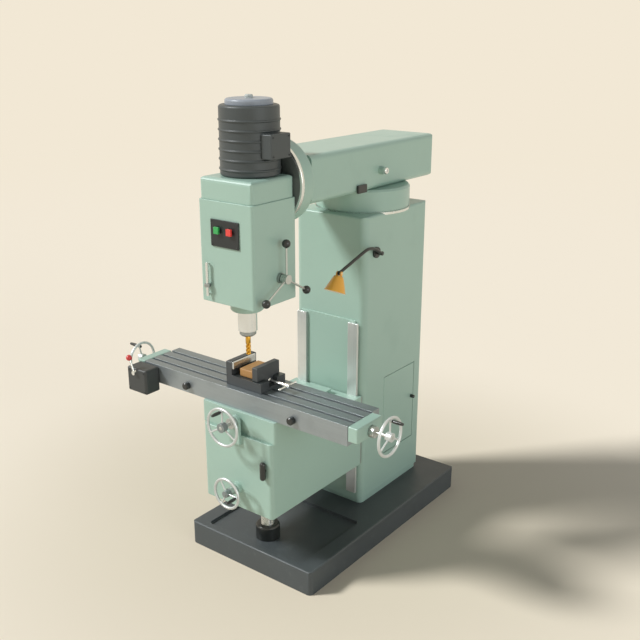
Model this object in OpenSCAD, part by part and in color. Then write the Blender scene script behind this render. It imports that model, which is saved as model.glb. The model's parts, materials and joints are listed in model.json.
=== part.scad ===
// Knee mill: a vertical milling machine with a turret, a sliding ram, a tilting head,
// a knee, a saddle, a T-slotted table and a screw vise.
// Units are millimetres. X runs along the table, the operator stands at -Y, Z is up,
// and the origin is the centre of the base's bottom face.

/* [Base] */
// Width of the base
base_w = 730; // [700:10:860]
// Depth of the base, front to back
base_d = 1257; // [1200:10:1500]
// Height of the base
base_h = 118; // [90:2:150]
// Wall of the hollow underneath
base_wall = 30; // [20:2:45]
// Depth of the coolant tray in the top
tray_deep = 14; // [6:1:24]
// Half width of the coolant tray
tray_half = 285; // [200:5:320]

/* [Column] */
// Half width of the column
col_half = 203; // [190:1:230]
// Front face of the column from the origin
col_front = -14; // [-30:1:0]
// Depth of the column
col_d = 540; // [460:5:640]
// Height of the column's top above the floor
col_top = 1575; // [1450:5:1800]
// Wall of the column casting
col_wall = 26; // [16:1:40]
// Radius of the column's front corners
col_corner = 36; // [10:1:50]
// Height of the shadow gap under the column's walls
foot_h = 20; // [8:1:30]

/* [Column ways] */
// Outer edge of each way strip from the centre
way_out = 179; // [160:1:190]
// Width of each way strip
way_w = 54; // [40:1:70]
// Thickness of each way strip
way_t = 14; // [10:1:20]
// Lower end of the strips
way_z0 = 186; // [160:2:230]
// Upper end of the strips
way_z1 = 1073; // [900:5:1200]
// Thickness of the pad behind the strips
pad_t = 8; // [6:1:12]

/* [Column door] */
// Front edge of the door
door_y0 = 170; // [120:5:200]
// Back edge of the door
door_y1 = 445; // [380:5:460]
// Lower edge of the door
door_z0 = 330; // [250:5:400]
// Upper edge of the door
door_z1 = 744; // [600:5:900]
// Thickness of the door
door_t = 9; // [6:1:14]
// Gap round the door
door_gap = 3; // [2:0.5:5]
// How far the hinge pins reach past the door
door_pin_long = 12; // [8:1:20]

/* [Knee] */
// Half width of the knee
knee_half = 200; // [190:1:230]
// Front face of the knee
knee_front = -685; // [-760:5:-640]
// Lower face of the knee
knee_z0 = 349; // [320:1:400]
// Upper face of the knee
knee_z1 = 709; // [680:1:740]
// Wall of the knee casting
knee_wall = 30; // [20:1:40]
// Radius of the knee's upright corners
knee_r = 20; // [6:1:24]
// Place of the knee screw behind the spindle side
knee_screw_y = -489; // [-520:1:-460]
// Radius of the knee screw
knee_screw_r = 31.5; // [24:0.5:36]
// Radius of the crank shaft
crank_shaft_r = 10; // [8:0.5:14]
// Height of the crank shaft
crank_z = 447; // [430:1:470]
// Pitch radius of the bevel pinion
pinion_r = 20; // [18:1:22]
// Radius of the black nut housing on the base
nut_r = 57; // [48:1:64]
// Height of the nut housing over the tray
nut_h = 72; // [50:1:90]

/* [Saddle] */
// Half width of the saddle
saddle_half = 210; // [200:1:230]
// Front face of the saddle
saddle_front = -671; // [-700:1:-650]
// Length of the saddle, front to back
saddle_d = 271; // [240:1:300]
// Height of the saddle
saddle_h = 102; // [90:1:120]
// Height of the cross screw
cross_z = 770; // [766:1:772]
// Radius of the cross screw
cross_r = 10; // [8:0.5:12]

/* [Dovetails] */
// Height of each dovetail
dove_h = 25; // [20:1:28]
// Half width of the saddle and table dovetails at their foot
dove_half = 50; // [40:1:56]
// Half width of the ram dovetail at its foot
ram_dove_half = 70; // [55:1:80]

/* [Table] */
// Length of the table
table_l = 1175; // [1000:5:1400]
// Left end of the table from the centre
table_x0 = -600; // [-700:5:-500]
// Front face of the table
table_front = -656; // [-680:1:-640]
// Width of the table
table_w = 223; // [210:1:260]
// Thickness of the table
table_t = 88; // [80:1:100]
// Width of each T-slot's mouth
slot_w = 14; // [10:1:18]
// Distance between T-slots
slot_pitch = 60; // [45:1:63]
// Thickness of each end bracket
bracket_t = 49; // [36:1:60]
// Height of each end bracket
bracket_h = 67; // [60:1:70]
// Place of the table screw
screw_y = -563; // [-570:1:-556]
// Height of the table screw under the table top
screw_down = 40; // [38:1:44]
// Radius of the table screw
screw_r = 10; // [8:0.5:11]

/* [Handwheels] */
// Outer radius of the table and cross handwheels
wheel_r = 90; // [75:1:100]
// Outer radius of the knee crank wheel
crank_wheel_r = 75; // [65:1:85]
// Radius of the handwheel rim's round section
rim_r = 6.5; // [4:0.5:8]
// Radius of a grip
grip_r = 8; // [6:0.5:10]
// Length of a grip
grip_l = 50; // [40:1:70]
// Distance of the right table wheel from its bracket
wheel_out = 90; // [80:1:110]

/* [Power feed] */
// Width of the feed box
feed_w = 128; // [100:1:140]
// Height of the feed box
feed_h = 120; // [100:1:130]
// Depth of the feed box
feed_d = 88; // [70:1:100]

/* [Vise] */
// Length of the vise body
vise_l = 201; // [190:1:230]
// Width of the vise body
vise_w = 162; // [140:1:170]
// Height of the vise bed
vise_bed = 46; // [42:1:54]
// Height of the jaws over the table
vise_jaw_h = 109; // [95:1:120]
// Thickness of the fixed jaw
jaw_t = 32; // [24:1:38]
// Opening between the jaw plate and the moving jaw
jaw_open = 104; // [92:1:120]

/* [Turret and ram] */
// Radius of the turret
turret_r = 225; // [200:1:240]
// Height of the turret
turret_h = 104; // [80:1:130]
// Thickness of the turret's scale ring
ring_t = 12; // [8:1:18]
// Half width of the ram
ram_half = 156; // [140:1:170]
// Height of the ram
ram_h = 208; // [180:2:240]
// Back end of the ram
ram_back = 641; // [600:5:700]
// Radius of the ram's edges
ram_r = 28; // [12:1:34]
// Radius of the tilting flange
flange_r = 181; // [160:1:200]
// Thickness of the tilting flange
flange_t = 76; // [70:1:76]

/* [Head] */
// Half width of the head
head_half = 147; // [138:1:165]
// Depth of the head
head_d = 270; // [250:1:300]
// Height of the head below its cap
head_h = 430; // [400:1:460]
// Height of the head's cap
cap_h = 91; // [75:1:110]
// Spindle axis
spindle_y = -591; // [-595:1:-588]
// Lower face of the head
head_z0 = 1300; // [1290:1:1330]
// Radius of the quill
quill_r = 41.5; // [36:0.5:46]
// Length of the quill
quill_l = 352; // [348:1:360]
// How far the quill stands out of its collar
quill_out = 91; // [80:1:110]
// Radius of the collar round the quill
collar_r = 71; // [60:1:80]
// Length of the collar
collar_l = 46; // [30:1:60]
// Radius of the end mill
tool_r = 11; // [6:0.5:14]
// Length of the end mill below the spindle
tool_l = 88; // [60:1:95]

/* [Motor] */
// Radius of the motor's body
motor_r = 123; // [110:1:130]
// Height of the motor's body
motor_h = 278; // [240:1:300]
// Number of cooling rings
motor_rings = 6; // [4:1:8]

/* [Drive] */
// Module of the drive gears
gear_m = 2; // [2:1:2]
// Teeth on the motor pinion
gear_z1 = 14; // [14:1:14]
// Teeth on the spindle gear
gear_z2 = 28; // [28:1:28]
// Teeth on the quill feed pinion
rack_z = 12; // [12:1:12]
// Length of each feed handle spoke to its ball
spoke_l = 150; // [120:1:170]
// Radius of each feed handle ball
ball_r = 18; // [14:0.5:22]

/* [Fits] */
// Radial clearance of a running fit
run = 0.05; // [0.02:0.01:0.08]
// Clearance between flat sliding faces
slip = 0.1; // [0.05:0.05:0.2]
// Clearance between curved faces of two bodies
gap = 0.3; // [0.3:0.1:0.5]

/* [Hidden] */
$fn = 64;

// Column and its ways
col_back = col_front + col_d;
pad_front = col_front - pad_t;
way_front = pad_front - way_t;
way_in = way_out - way_w;
keeper_in = way_out - 16;
foot_top = base_h + foot_h;
turret_y = col_front + 265;
tray_floor = base_h - tray_deep;
tray_y0 = -591;
tray_y1 = -150;
spigot_r = 110;
spigot_l = 40;

// Knee, saddle and table levels
knee_back = way_front - slip;
saddle_z0 = knee_z1;
saddle_z1 = saddle_z0 + saddle_h;
saddle_back = saddle_front + saddle_d;
table_z0 = saddle_z1;
table_z1 = table_z0 + table_t;
table_x1 = table_x0 + table_l;
table_back = table_front + table_w;
table_y = (table_front + table_back) / 2;
dove_run = dove_h / tan(60);
screw_z = table_z1 - screw_down;
tunnel_half = 27;
tunnel_top = screw_z + screw_r + 4;
wheel_x = table_x1 + bracket_t + wheel_out;
wheel_left_x = table_x0 - bracket_t - wheel_out + 14;
bracket_y1 = table_front + 173;
cross_wheel_y = knee_front - 83;
cross_lug_y = knee_front - 14;
crank_wheel_y = knee_front - 72;
gear_top = crank_z + pinion_r + 24;
knee_screw_z0 = 96;
lock_x = 163;
lock_z = 584;
nut_y = saddle_front + 30;
nut_len = 40;
screw_back = -290;

// Vise
vise_x0 = -103;
vise_x1 = vise_x0 + vise_l;
vise_y = table_y;
vise_y0 = vise_y - vise_w / 2;
vise_y1 = vise_y + vise_w / 2;
vise_channel = 26;
vise_floor = table_z1 + 16;
bed_z = table_z1 + vise_bed;
jaw_z = table_z1 + vise_jaw_h;
plate_t = 10;
plate_x = vise_x0 + jaw_t;
moving_x = plate_x + plate_t + jaw_open;
moving_t = 30;
vise_screw_z = table_z1 + 34;
vise_screw_r = 8;
bar_x = vise_x1 + 80;
bar_r = 4;

// Turret, ram and flange
turret_z0 = col_top;
turret_z1 = turret_z0 + turret_h;
ram_z0 = turret_z1 + slip;
ram_z1 = ram_z0 + ram_h;
ram_front = -345;
lock_y = 165;
ram_dove_run = dove_h / tan(60);
flange_z = (ram_z0 + ram_z1) / 2 - 8;
flange_front = ram_front - flange_t;
scale_t = 18;
tilt_pin_r = 45;

// Head
head_back = flange_front - slip - scale_t;
head_front = head_back - head_d;
head_z1 = head_z0 + head_h;
cap_z1 = head_z1 + cap_h;
head_wall = 22;
bore_r = quill_r + run;
collar_z0 = head_z0 - collar_l;
quill_z0 = collar_z0 - quill_out;
quill_z1 = quill_z0 + quill_l;
nose_l = 23;
nose_r = 36;
tool_z0 = quill_z0 - nose_l - tool_l;
spindle_r = 20;
quill_bore = 31;
sleeve_r = 22;
spline_r = 13;
spline_top = head_z1 + 20;
gear_z0 = head_z1 - 68;
gear_t = 22;
sleeve_z0 = gear_z0 - 62;
chamber_z0 = gear_z0 - 7;
motor_y = spindle_y + gear_m * (gear_z1 + gear_z2) / 2;
motor_z0 = cap_z1 + 1;
motor_z1 = motor_z0 + motor_h;
shaft_r = 9;
ring_section = 4.5;
ring_r = motor_r - 0.5;

// Quill feed: the rack's pitch line and the pinion's axis
rack_line = quill_r - 10.5;
feed_r = gear_m * rack_z / 2;
feed_y = spindle_y + rack_line + feed_r;
feed_z = head_z0 + 108;
feed_hub_x = head_half + 36;
rack_half = 26;
rack_down = 70;
rack_up = 78;

// Small parts
panel_t = 6;
button_w = 26;
button_h = 28;
button_z = 1614;
button_x = 34;
stop_x = -97;
stop_y = head_front - 15;
stop_r = 6;
lamp_y = 72;
lamp_z = 1401;
lamp_pin_x = col_half + 32;
shade_at = [222, -235, 1372];
shade_tilt = 24;

// Node to show, or all of them

// Helpers: cylinders along each axis
module along_x(x0, x1, y, z, r) {
    translate([x0, y, z]) rotate([0, 90, 0]) cylinder(h = x1 - x0, r = r);
}

module along_y(y0, y1, x, z, r) {
    translate([x, y0, z]) rotate([-90, 0, 0]) cylinder(h = y1 - y0, r = r);
}

module along_z(z0, z1, x, y, r) {
    translate([x, y, z0]) cylinder(h = z1 - z0, r = r);
}

// A cone between two radii along Z
module cone_z(z0, z1, x, y, r0, r1) {
    translate([x, y, z0]) cylinder(h = z1 - z0, r1 = r0, r2 = r1);
}

// A plain block between two corners
module block(a, b) {
    translate(a) cube(b - a);
}

// A rectangle with round corners
module round_rect(a0, a1, b0, b1, r) {
    translate([a0 + r, b0]) square([a1 - a0 - 2 * r, b1 - b0]);
    translate([a0, b0 + r]) square([a1 - a0, b1 - b0 - 2 * r]);
    for (a = [a0 + r, a1 - r], b = [b0 + r, b1 - r])
        translate([a, b]) circle(r);
}

// Extrusions of an outline along each axis: x takes (y, z), y takes (x, z), z takes (x, y)
module sweep_x(x0, x1) {
    translate([x0, 0, 0]) rotate([90, 0, 90]) linear_extrude(x1 - x0) children();
}

module sweep_y(y0, y1) {
    translate([0, y1, 0]) rotate([90, 0, 0]) linear_extrude(y1 - y0) children();
}

module sweep_z(z0, z1) {
    translate([0, 0, z0]) linear_extrude(z1 - z0) children();
}

// A block with round vertical edges
module round_block(a, b, r) {
    sweep_z(a[2], b[2]) round_rect(a[0], b[0], a[1], b[1], r);
}

// Half outline of a drum with rims rounded by e0 at the bottom and e1 at the top, for rotate_extrude
module drum_outline(r, h, e0, e1) {
    translate([0, e0]) square([r, h - e0 - e1]);
    translate([0, e0]) square([r - e1, h - e0]);
    square([r - e0, h - e1]);
    if (e0 > 0) translate([r - e0, e0]) circle(e0);
    if (e1 > 0) translate([r - e1, h - e1]) circle(e1);
}

// A casting's block: rv rounds its upright edges, rs those along Y, rf those along X
module cast_block(a, b, rv, rs, rf) {
    intersection() {
        round_block(a, b, rv);
        sweep_y(a[1], b[1]) round_rect(a[0], b[0], a[2], b[2], rs);
        sweep_x(a[0], b[0]) round_rect(a[1], b[1], a[2], b[2], rf);
    }
}

// A dovetail's outline, widening upwards from its foot at height z
module dovetail(c, half, z, h, run_out) {
    polygon([
        [c - half, z], [c + half, z],
        [c + half + run_out, z + h], [c - half - run_out, z + h]
    ]);
}

// The dovetail's outline with its sliding clearance, and cut below its foot
module dovetail_groove(c, half, z, h, run_out) {
    polygon([
        [c - half - slip, z - 1], [c + half + slip, z - 1],
        [c + half + slip, z], [c + half + run_out + slip, z + h + slip],
        [c - half - run_out - slip, z + h + slip], [c - half - slip, z]
    ]);
}

// Involute gear outline, with thin_by taken off each tooth for backlash
function inv_point(rb, t) = [
    rb * (cos(t) + t * PI / 180 * sin(t)),
    rb * (sin(t) - t * PI / 180 * cos(t))
];
function inv_angle(rb, r) = sqrt(max(0, pow(r / rb, 2) - 1)) * 180 / PI;
function turn(p, a) = [p[0] * cos(a) - p[1] * sin(a), p[0] * sin(a) + p[1] * cos(a)];
function tooth_side(m, z, thin_by, steps) =
    let (rp = m * z / 2, rb = rp * cos(20), ra = rp + m,
         tp = inv_angle(rb, rp), ta = inv_angle(rb, ra),
         lead = atan2(inv_point(rb, tp)[1], inv_point(rb, tp)[0]),
         half = 90 / z - thin_by / 2 / rp * 180 / PI)
    [for (i = [0:steps]) turn(inv_point(rb, ta * i / steps), -half - lead)];
module gear_outline(m, z, thin_by) {
    rf = m * z / 2 - 1.25 * m;
    right = tooth_side(m, z, thin_by, 4);
    left = [for (i = [len(right) - 1:-1:0]) [right[i][0], -right[i][1]]];
    foot = atan2(-right[0][1], right[0][0]);
    polygon([for (k = [0:z - 1]) each [
        for (p = concat(
            [[rf * cos(foot), -rf * sin(foot)]], right, left,
            [[rf * cos(foot), rf * sin(foot)]]
        )) turn(p, k * 360 / z)
    ]]);
}

// A handwheel about the Z axis with its rim at z = 0: rim, three spokes and hub
module handwheel(outer, hub_r, hub_l, bore) {
    mid = outer - rim_r;
    difference() {
        union() {
            rotate_extrude() translate([mid, 0]) circle(rim_r, $fn = 24);
            for (k = [0:2])
                rotate(90 + 120 * k) rotate([0, 90, 0]) cylinder(h = mid, r = 4, $fn = 24);
            translate([0, 0, -hub_l / 2]) cylinder(h = hub_l, r = hub_r);
            rotate(90) translate([mid - 9, 0, -9]) cylinder(h = 18, r = 7.5, $fn = 32);
        }
        translate([0, 0, -hub_l]) cylinder(h = 2 * hub_l, r = bore);
        rotate(90) translate([mid - 9, 0, -20]) cylinder(h = 40, r = 4 + run);
    }
}

// A spinning grip about the Z axis: its stud runs through the handwheel's boss
module grip() {
    translate([0, 0, -11]) cylinder(h = 22, r = 4);
    translate([0, 0, -13]) cylinder(h = 2.5, r = 6.5);
    rotate_extrude() polygon([
        [0, 10.5], [grip_r - 2.5, 10.5], [grip_r - 0.5, 16], [grip_r, 10 + grip_l * 0.45],
        [grip_r - 1, 10 + grip_l * 0.8], [grip_r - 2.5, 10 + grip_l], [0, 10 + grip_l]
    ]);
}

// Base and column
module base() {
    color("#3f4547") difference() {
        cast_block([-base_w / 2, -base_d / 2, -30], [base_w / 2, base_d / 2, base_h], 22, 8, 8);
        translate([-base_w, -base_d, -60]) cube([2 * base_w, 2 * base_d, 60]);
        for (s = [-1, 1]) {
            x = s * (base_w / 4 - base_wall / 4);
            half = base_w / 4 - base_wall * 0.75;
            for (k = [0:2]) {
                y0 = -base_d / 2 + base_wall + k * (base_d - base_wall) / 3;
                round_block([x - half, y0, -1],
                    [x + half, y0 + (base_d - 4 * base_wall) / 3, tray_floor - base_wall], 15);
            }
        }
        round_block([-tray_half, tray_y0, tray_floor], [tray_half, tray_y1, base_h + 1], 18);
        along_z(-1, tray_floor + 1, 0, knee_screw_y, knee_screw_r + 2);
    }
    color("#3f4547") difference() {
        along_z(0, tray_floor, 0, knee_screw_y, knee_screw_r + 14);
        along_z(4, tray_floor + 1, 0, knee_screw_y, knee_screw_r + 2);
    }
}

module knee_screw_nut() {
    color("#262a29") difference() {
        union() {
            along_z(tray_floor, tray_floor + nut_h - 8, 0, knee_screw_y, nut_r);
            cone_z(tray_floor + nut_h - 8, tray_floor + nut_h, 0, knee_screw_y, nut_r, nut_r - 6);
        }
        along_z(tray_floor - 1, tray_floor + nut_h + 1, 0, knee_screw_y, knee_screw_r + run);
    }
}

module column() {
    color("#93a89a") difference() {
        union() {
            cast_block([-col_half, col_front, foot_top], [col_half, col_back, col_top],
                col_corner, 16, 16);
            // the front foot reaches lower than the sides
            cast_block([-col_half + 1, col_front + 1, base_h + 10],
                [col_half - 1, col_front + 72, foot_top + 60], col_corner - 1, 12, 12);
            round_block([-col_half + 10, col_front + 10, base_h],
                [col_half - 10, col_back - 10, foot_top + 20], col_corner - 10);
            round_block([-keeper_in + 3, pad_front, way_z0 - 12],
                [keeper_in - 3, col_front + 40, way_z1 + 8], 6);
        }
        // closed room inside the casting
        block([-col_half + col_wall, col_front + col_wall + 20, foot_top + 40],
            [10, col_back - col_wall, col_top - 60 - col_wall]);
        block([9, col_front + col_wall + 20, door_z1 + 15 + col_wall],
            [col_half - col_wall, col_back - col_wall, col_top - 60 - col_wall]);
        // cabinet behind the door
        block([10 + col_wall, door_y0 + 15, door_z0 + 15],
            [col_half + 1, door_y1 - 11, door_z1 - 15]);
        block([col_half - door_t - 1, door_y0 - door_gap, door_z0 - door_gap],
            [col_half + 1, door_y1 + door_gap, door_z1 + door_gap]);
        along_z(door_z0 - door_gap - door_pin_long, door_z1 + door_gap + door_pin_long,
            col_half - door_t / 2, door_y0 + door_t / 2, 2.5 + run);
        // seat of the turret's scale ring and bore of its spigot
        along_z(col_top - ring_t, col_top + 1, 0, turret_y, turret_r + 3 + gap);
        along_z(col_top - ring_t - spigot_l - 2, col_top + 1, 0, turret_y, spigot_r + run);
    }
}

module column_ways() {
    color("#b9bdba") for (s = [-1, 1]) {
        x = s * (way_out - way_w / 2);
        block([x - way_w / 2, way_front, way_z0], [x + way_w / 2, pad_front, way_z1]);
    }
}

module column_door() {
    x = col_half - door_t / 2;
    y = door_y0 + door_t / 2;
    color("#9fb3a5") {
        difference() {
            union() {
                block([col_half - door_t, y, door_z0], [col_half, door_y1, door_z1]);
                along_z(door_z0, door_z1, x, y, door_t / 2);
                block([col_half - door_t - 14, door_y0 + 30, door_z0 + 30],
                    [col_half - door_t + 1, door_y1 - 30, door_z0 + 36]);
                block([col_half - door_t - 14, door_y0 + 30, door_z1 - 36],
                    [col_half - door_t + 1, door_y1 - 30, door_z1 - 30]);
            }
            along_x(col_half - door_t - 1, col_half + 1, door_y1 - 20, door_z0 + 232, 4 + run);
        }
        along_z(door_z1, door_z1 + door_gap + door_pin_long - 2, x, y, 2.5);
        along_z(door_z0 - door_gap - door_pin_long + 2, door_z0, x, y, 2.5);
    }
}

module door_knob() {
    y = door_y1 - 20;
    z = door_z0 + 232;
    color("#262a29") {
        along_x(col_half, col_half + 18, y, z, 9);
        translate([col_half + 18, y, z]) rotate([0, 90, 0]) cylinder(h = 3, r1 = 9, r2 = 6.5);
        along_x(col_half - door_t - 4, col_half + 1, y, z, 4);
        along_x(col_half - door_t - 5, col_half - door_t, y, z, 7);
    }
}

// Turret, ram and tilting flange
module turret() {
    color("#93a89a") {
        along_z(turret_z0 + slip, turret_z1 - 10, 0, turret_y, turret_r);
        cone_z(turret_z1 - 10, turret_z1, 0, turret_y, turret_r, turret_r - 8);
        along_z(turret_z0 - ring_t - spigot_l, turret_z0 + 10, 0, turret_y, spigot_r);
        intersection() {
            sweep_y(turret_y - turret_r, turret_y + turret_r)
                dovetail(0, ram_dove_half, turret_z1 - 0.01, dove_h, ram_dove_run);
            along_z(turret_z1 - 2, turret_z1 + dove_h, 0, turret_y, turret_r - 9);
        }
    }
}

module turret_scale() {
    color("#cfd3d0") difference() {
        along_z(col_top - ring_t, turret_z0, 0, turret_y, turret_r + 3);
        along_z(col_top - ring_t - 1, turret_z0 + 1, 0, turret_y, spigot_r + gap);
    }
}

module ram() {
    color("#93a89a") difference() {
        union() {
            difference() {
                cast_block([-ram_half, ram_front - 60, ram_z0], [ram_half, ram_back, ram_z1],
                    ram_r, ram_r, ram_r);
                translate([-2 * ram_half, ram_front - 200, ram_z0 - 10])
                    cube([4 * ram_half, 200, ram_h + 20]);
            }
            along_x(ram_half - 5, ram_half + 27, lock_y, ram_z0 + 84, 18);
        }
        // groove that runs on the turret's dovetail
        sweep_y(ram_front - 1, ram_back + 1)
            dovetail_groove(0, ram_dove_half, ram_z0 - slip, dove_h, ram_dove_run);
        // hollow inside the casting
        round_block([-ram_half + 34, ram_front + 40, ram_z0 + dove_h + 34],
            [ram_half - 34, ram_back - 40, ram_z1 - 34], 20);
        along_x(ram_half - 30, ram_half + 28, lock_y, ram_z0 + 84, 8 + run);
    }
}

module ram_lock_bolt() {
    color("#d8dcda") {
        along_x(ram_half - 28, ram_half + 30, lock_y, ram_z0 + 84, 8);
        translate([ram_half + 27 + gap, lock_y, ram_z0 + 84]) rotate([0, 90, 0]) difference() {
            rotate_extrude() drum_outline(15, 12, 0, 4);
            translate([0, 0, 6]) cylinder(h = 7, r = 7, $fn = 6);
        }
    }
}

module ram_stop_block() {
    color("#262a29") round_block([ram_half, -24, ram_z0 + 2], [ram_half + 14, 44, ram_z0 + 38], 5);
}

module tilt_flange() {
    color("#93a89a") difference() {
        translate([0, 0, flange_z]) rotate([90, 0, 0]) translate([0, 0, -ram_front])
            rotate_extrude() drum_outline(flange_r, flange_t, 24, 0);
        along_y(flange_front - 1, ram_front - 15, 0, flange_z, tilt_pin_r + run);
    }
}

module tilt_scale() {
    back = flange_front - slip;
    color("#cfd3d0") difference() {
        union() {
            along_y(back - scale_t, back, 0, flange_z, flange_r + 1);
            along_y(back - 1, ram_front - 17, 0, flange_z, tilt_pin_r);
        }
        // relief behind the motor
        along_z(motor_z0 - 1, motor_z0 + 160, 0, motor_y, motor_r + 8);
    }
}

// Head
module head_body() {
    color("#a8c0ae") difference() {
        round_block([-head_half, head_front, head_z0], [head_half, head_back, head_z1], 5);
        along_z(head_z0 - 1, chamber_z0 - 70, 0, spindle_y, bore_r);
        along_z(head_z0 - 1, chamber_z0 + 1, 0, spindle_y, sleeve_r + run);
        // gear chamber under the cap and the casting's side pockets
        round_block([-head_half + head_wall, head_front + head_wall, chamber_z0],
            [head_half - head_wall, head_back - head_wall, head_z1 + 1], 10);
        for (s = [-1, 1])
            round_block([s > 0 ? 62 : -head_half + head_wall, head_front + head_wall, head_z0 + 30],
                [s > 0 ? head_half - head_wall : -62, head_back - head_wall, chamber_z0 + 1], 10);
        // pocket for the feed pinion and its shaft's bore
        along_x(-30, 30, feed_y, feed_z, feed_r + gear_m + 1);
        along_x(29, head_half + 1, feed_y, feed_z, 8 + run);
        along_x(-60, -29, feed_y, feed_z, 8 + run);
        // holes for the buttons' stems
        for (s = [-1, 1])
            along_y(head_front - 1, head_front + 12, s * button_x, button_z, 7);
    }
}

module head_cap() {
    color("#a8c0ae") difference() {
        cast_block([-head_half + 5, head_front + 5, head_z1 - 60],
            [head_half - 5, head_back - 5, cap_z1], 18, 22, 22);
        translate([-head_half, head_front, head_z1 - 80]) cube([2 * head_half, head_d, 80]);
        round_block([-head_half + head_wall + 4, head_front + head_wall + 4, head_z1 - 1],
            [head_half - head_wall - 4, head_back - head_wall - 4, cap_z1 - 16], 14);
        along_z(cap_z1 - 20, cap_z1 + 1, 0, motor_y, shaft_r + 4);
    }
}

module motor_body() {
    pitch = (motor_h - 85) / (motor_rings - 1);
    color("#4c504f") difference() {
        union() {
            translate([0, motor_y, motor_z0]) rotate_extrude() {
                drum_outline(motor_r, motor_h, 8, 10);
                for (k = [0:motor_rings - 1])
                    translate([ring_r, 27 + k * pitch]) circle(ring_section, $fn = 24);
            }
        }
        along_z(motor_z0 + 30, motor_z1 - 20, 0, motor_y, motor_r - 14);
        along_z(motor_z0 - 1, motor_z1 + 1, 0, motor_y, shaft_r + run);
    }
    // spigot that locates the motor in the cap
    color("#4c504f") difference() {
        along_z(cap_z1, motor_z0, 0, motor_y, 60);
        along_z(cap_z1 - 1, motor_z0 + 1, 0, motor_y, shaft_r + 4);
    }
}

module motor_cap() {
    color("#8e949c") difference() {
        translate([0, motor_y, motor_z1]) rotate_extrude() drum_outline(97, 24, 0, 11);
        along_z(motor_z1 - 1, motor_z1 + 8, 0, motor_y, shaft_r + 2);
    }
    color("#cdd2cc") translate([0, motor_y, motor_z1 + 23]) rotate_extrude() drum_outline(17, 15, 0, 6);
}

module motor_box() {
    color("#4c504f") difference() {
        cast_block([60, motor_y - 60, motor_z0 + 75], [165, motor_y + 60, motor_z0 + 173], 6, 6, 6);
        along_z(motor_z0, motor_z1, 0, motor_y, motor_r + 5);
    }
}

module motor_rotor() {
    color("#9a9d9b") difference() {
        union() {
            along_z(motor_z0 + 45, motor_z1 - 40, 0, motor_y, motor_r - 24);
            along_z(gear_z0 - 4, motor_z1 + 4, 0, motor_y, shaft_r);
        }
    }
    color("#9a9d9b") sweep_z(gear_z0, gear_z0 + gear_t) translate([0, motor_y])
        rotate(-90) difference() {
            gear_outline(gear_m, gear_z1, 0.3);
            circle(shaft_r - 1);
        }
}

module spindle_gear() {
    color("#a9adab") difference() {
        union() {
            sweep_z(gear_z0, gear_z0 + gear_t) translate([0, spindle_y])
                rotate(90 + 180 / gear_z2) gear_outline(gear_m, gear_z2, 0.3);
            along_z(sleeve_z0, gear_z0 + 1, 0, spindle_y, sleeve_r);
        }
        sweep_z(sleeve_z0 - 1, gear_z0 + gear_t + 1) translate([0, spindle_y])
            spline_outline(gap);
    }
}

// Six-key spline shared by the spindle and its gear
module spline_outline(clear) {
    circle(spline_r - 2.5 + clear);
    for (k = [0:2]) rotate(60 * k)
        square([2 * (spline_r + clear), 6 + 2 * clear], center = true);
}

module quill_nose() {
    color("#a8c0ae") difference() {
        union() {
            along_z(collar_z0 + 6, head_z0, 0, spindle_y, collar_r);
            cone_z(collar_z0, collar_z0 + 6, 0, spindle_y, collar_r - 6, collar_r);
        }
        along_z(collar_z0 - 1, head_z0 + 1, 0, spindle_y, bore_r);
    }
}

module quill() {
    pitch = PI * gear_m;
    back = rack_line + 0.65 * gear_m;
    color("#cfcfcb") difference() {
        along_z(quill_z0, quill_z1, 0, spindle_y, quill_r);
        along_z(quill_z0 - 1, quill_z1 + 1, 0, spindle_y, spindle_r + 3);
        along_z(quill_z0 - 1, quill_z0 + 50, 0, spindle_y, quill_bore);
        along_z(quill_z1 - 34, quill_z1 + 1, 0, spindle_y, quill_bore);
        // flat in the back for the rack, then the gaps between its teeth
        block([-quill_r, spindle_y + back, feed_z - rack_down],
            [quill_r, spindle_y + quill_r + 1, feed_z + rack_up]);
        sweep_x(-rack_half - 1, rack_half + 1) for (k = [-11:10])
            translate([spindle_y + rack_line, feed_z + (k + 0.5) * pitch]) polygon([
                [-1.25 * gear_m, -pitch / 4 + 1.25 * gear_m * tan(20) - 0.12],
                [1.25 * gear_m, -pitch / 4 - 1.25 * gear_m * tan(20) - 0.12],
                [1.25 * gear_m, pitch / 4 + 1.25 * gear_m * tan(20) + 0.12],
                [-1.25 * gear_m, pitch / 4 - 1.25 * gear_m * tan(20) + 0.12]
            ]);
    }
}

module quill_bearings() {
    color("#b9bdba") for (z = [quill_z0 + 10, quill_z1 - 30]) difference() {
        along_z(z, z + 22, 0, spindle_y, quill_bore - run);
        along_z(z - 1, z + 23, 0, spindle_y, spindle_r + run);
    }
}

module spindle() {
    color("#8d9190") difference() {
        union() {
            cone_z(quill_z0 - nose_l, quill_z0 - nose_l + 7, 0, spindle_y, nose_r - 7, nose_r);
            along_z(quill_z0 - nose_l + 7, quill_z0 - gap, 0, spindle_y, nose_r);
            along_z(quill_z0 - 2, quill_z1 + 5, 0, spindle_y, spindle_r);
            sweep_z(quill_z1, spline_top) translate([0, spindle_y]) spline_outline(0);
        }
        along_z(quill_z0 - nose_l - 1, quill_z0 + 20, 0, spindle_y, 8 + run);
    }
}

module end_mill() {
    flute = tool_l - 38;
    color("#d0a848") {
        along_z(tool_z0 + flute, quill_z0 - nose_l - 4, 0, spindle_y, tool_r);
        along_z(tool_z0 + flute, quill_z0 + 15, 0, spindle_y, 8);
        difference() {
            along_z(tool_z0, tool_z0 + flute + 1, 0, spindle_y, tool_r);
            for (k = [0:3]) rotate_about([0, spindle_y], 90 * k)
                translate([tool_r * 0.9, spindle_y, tool_z0 - 1])
                    cylinder(h = flute - 4, r = tool_r * 0.42);
        }
    }
}

module rotate_about(c, a) {
    translate([c[0], c[1], 0]) rotate(a) translate([-c[0], -c[1], 0]) children();
}

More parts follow.
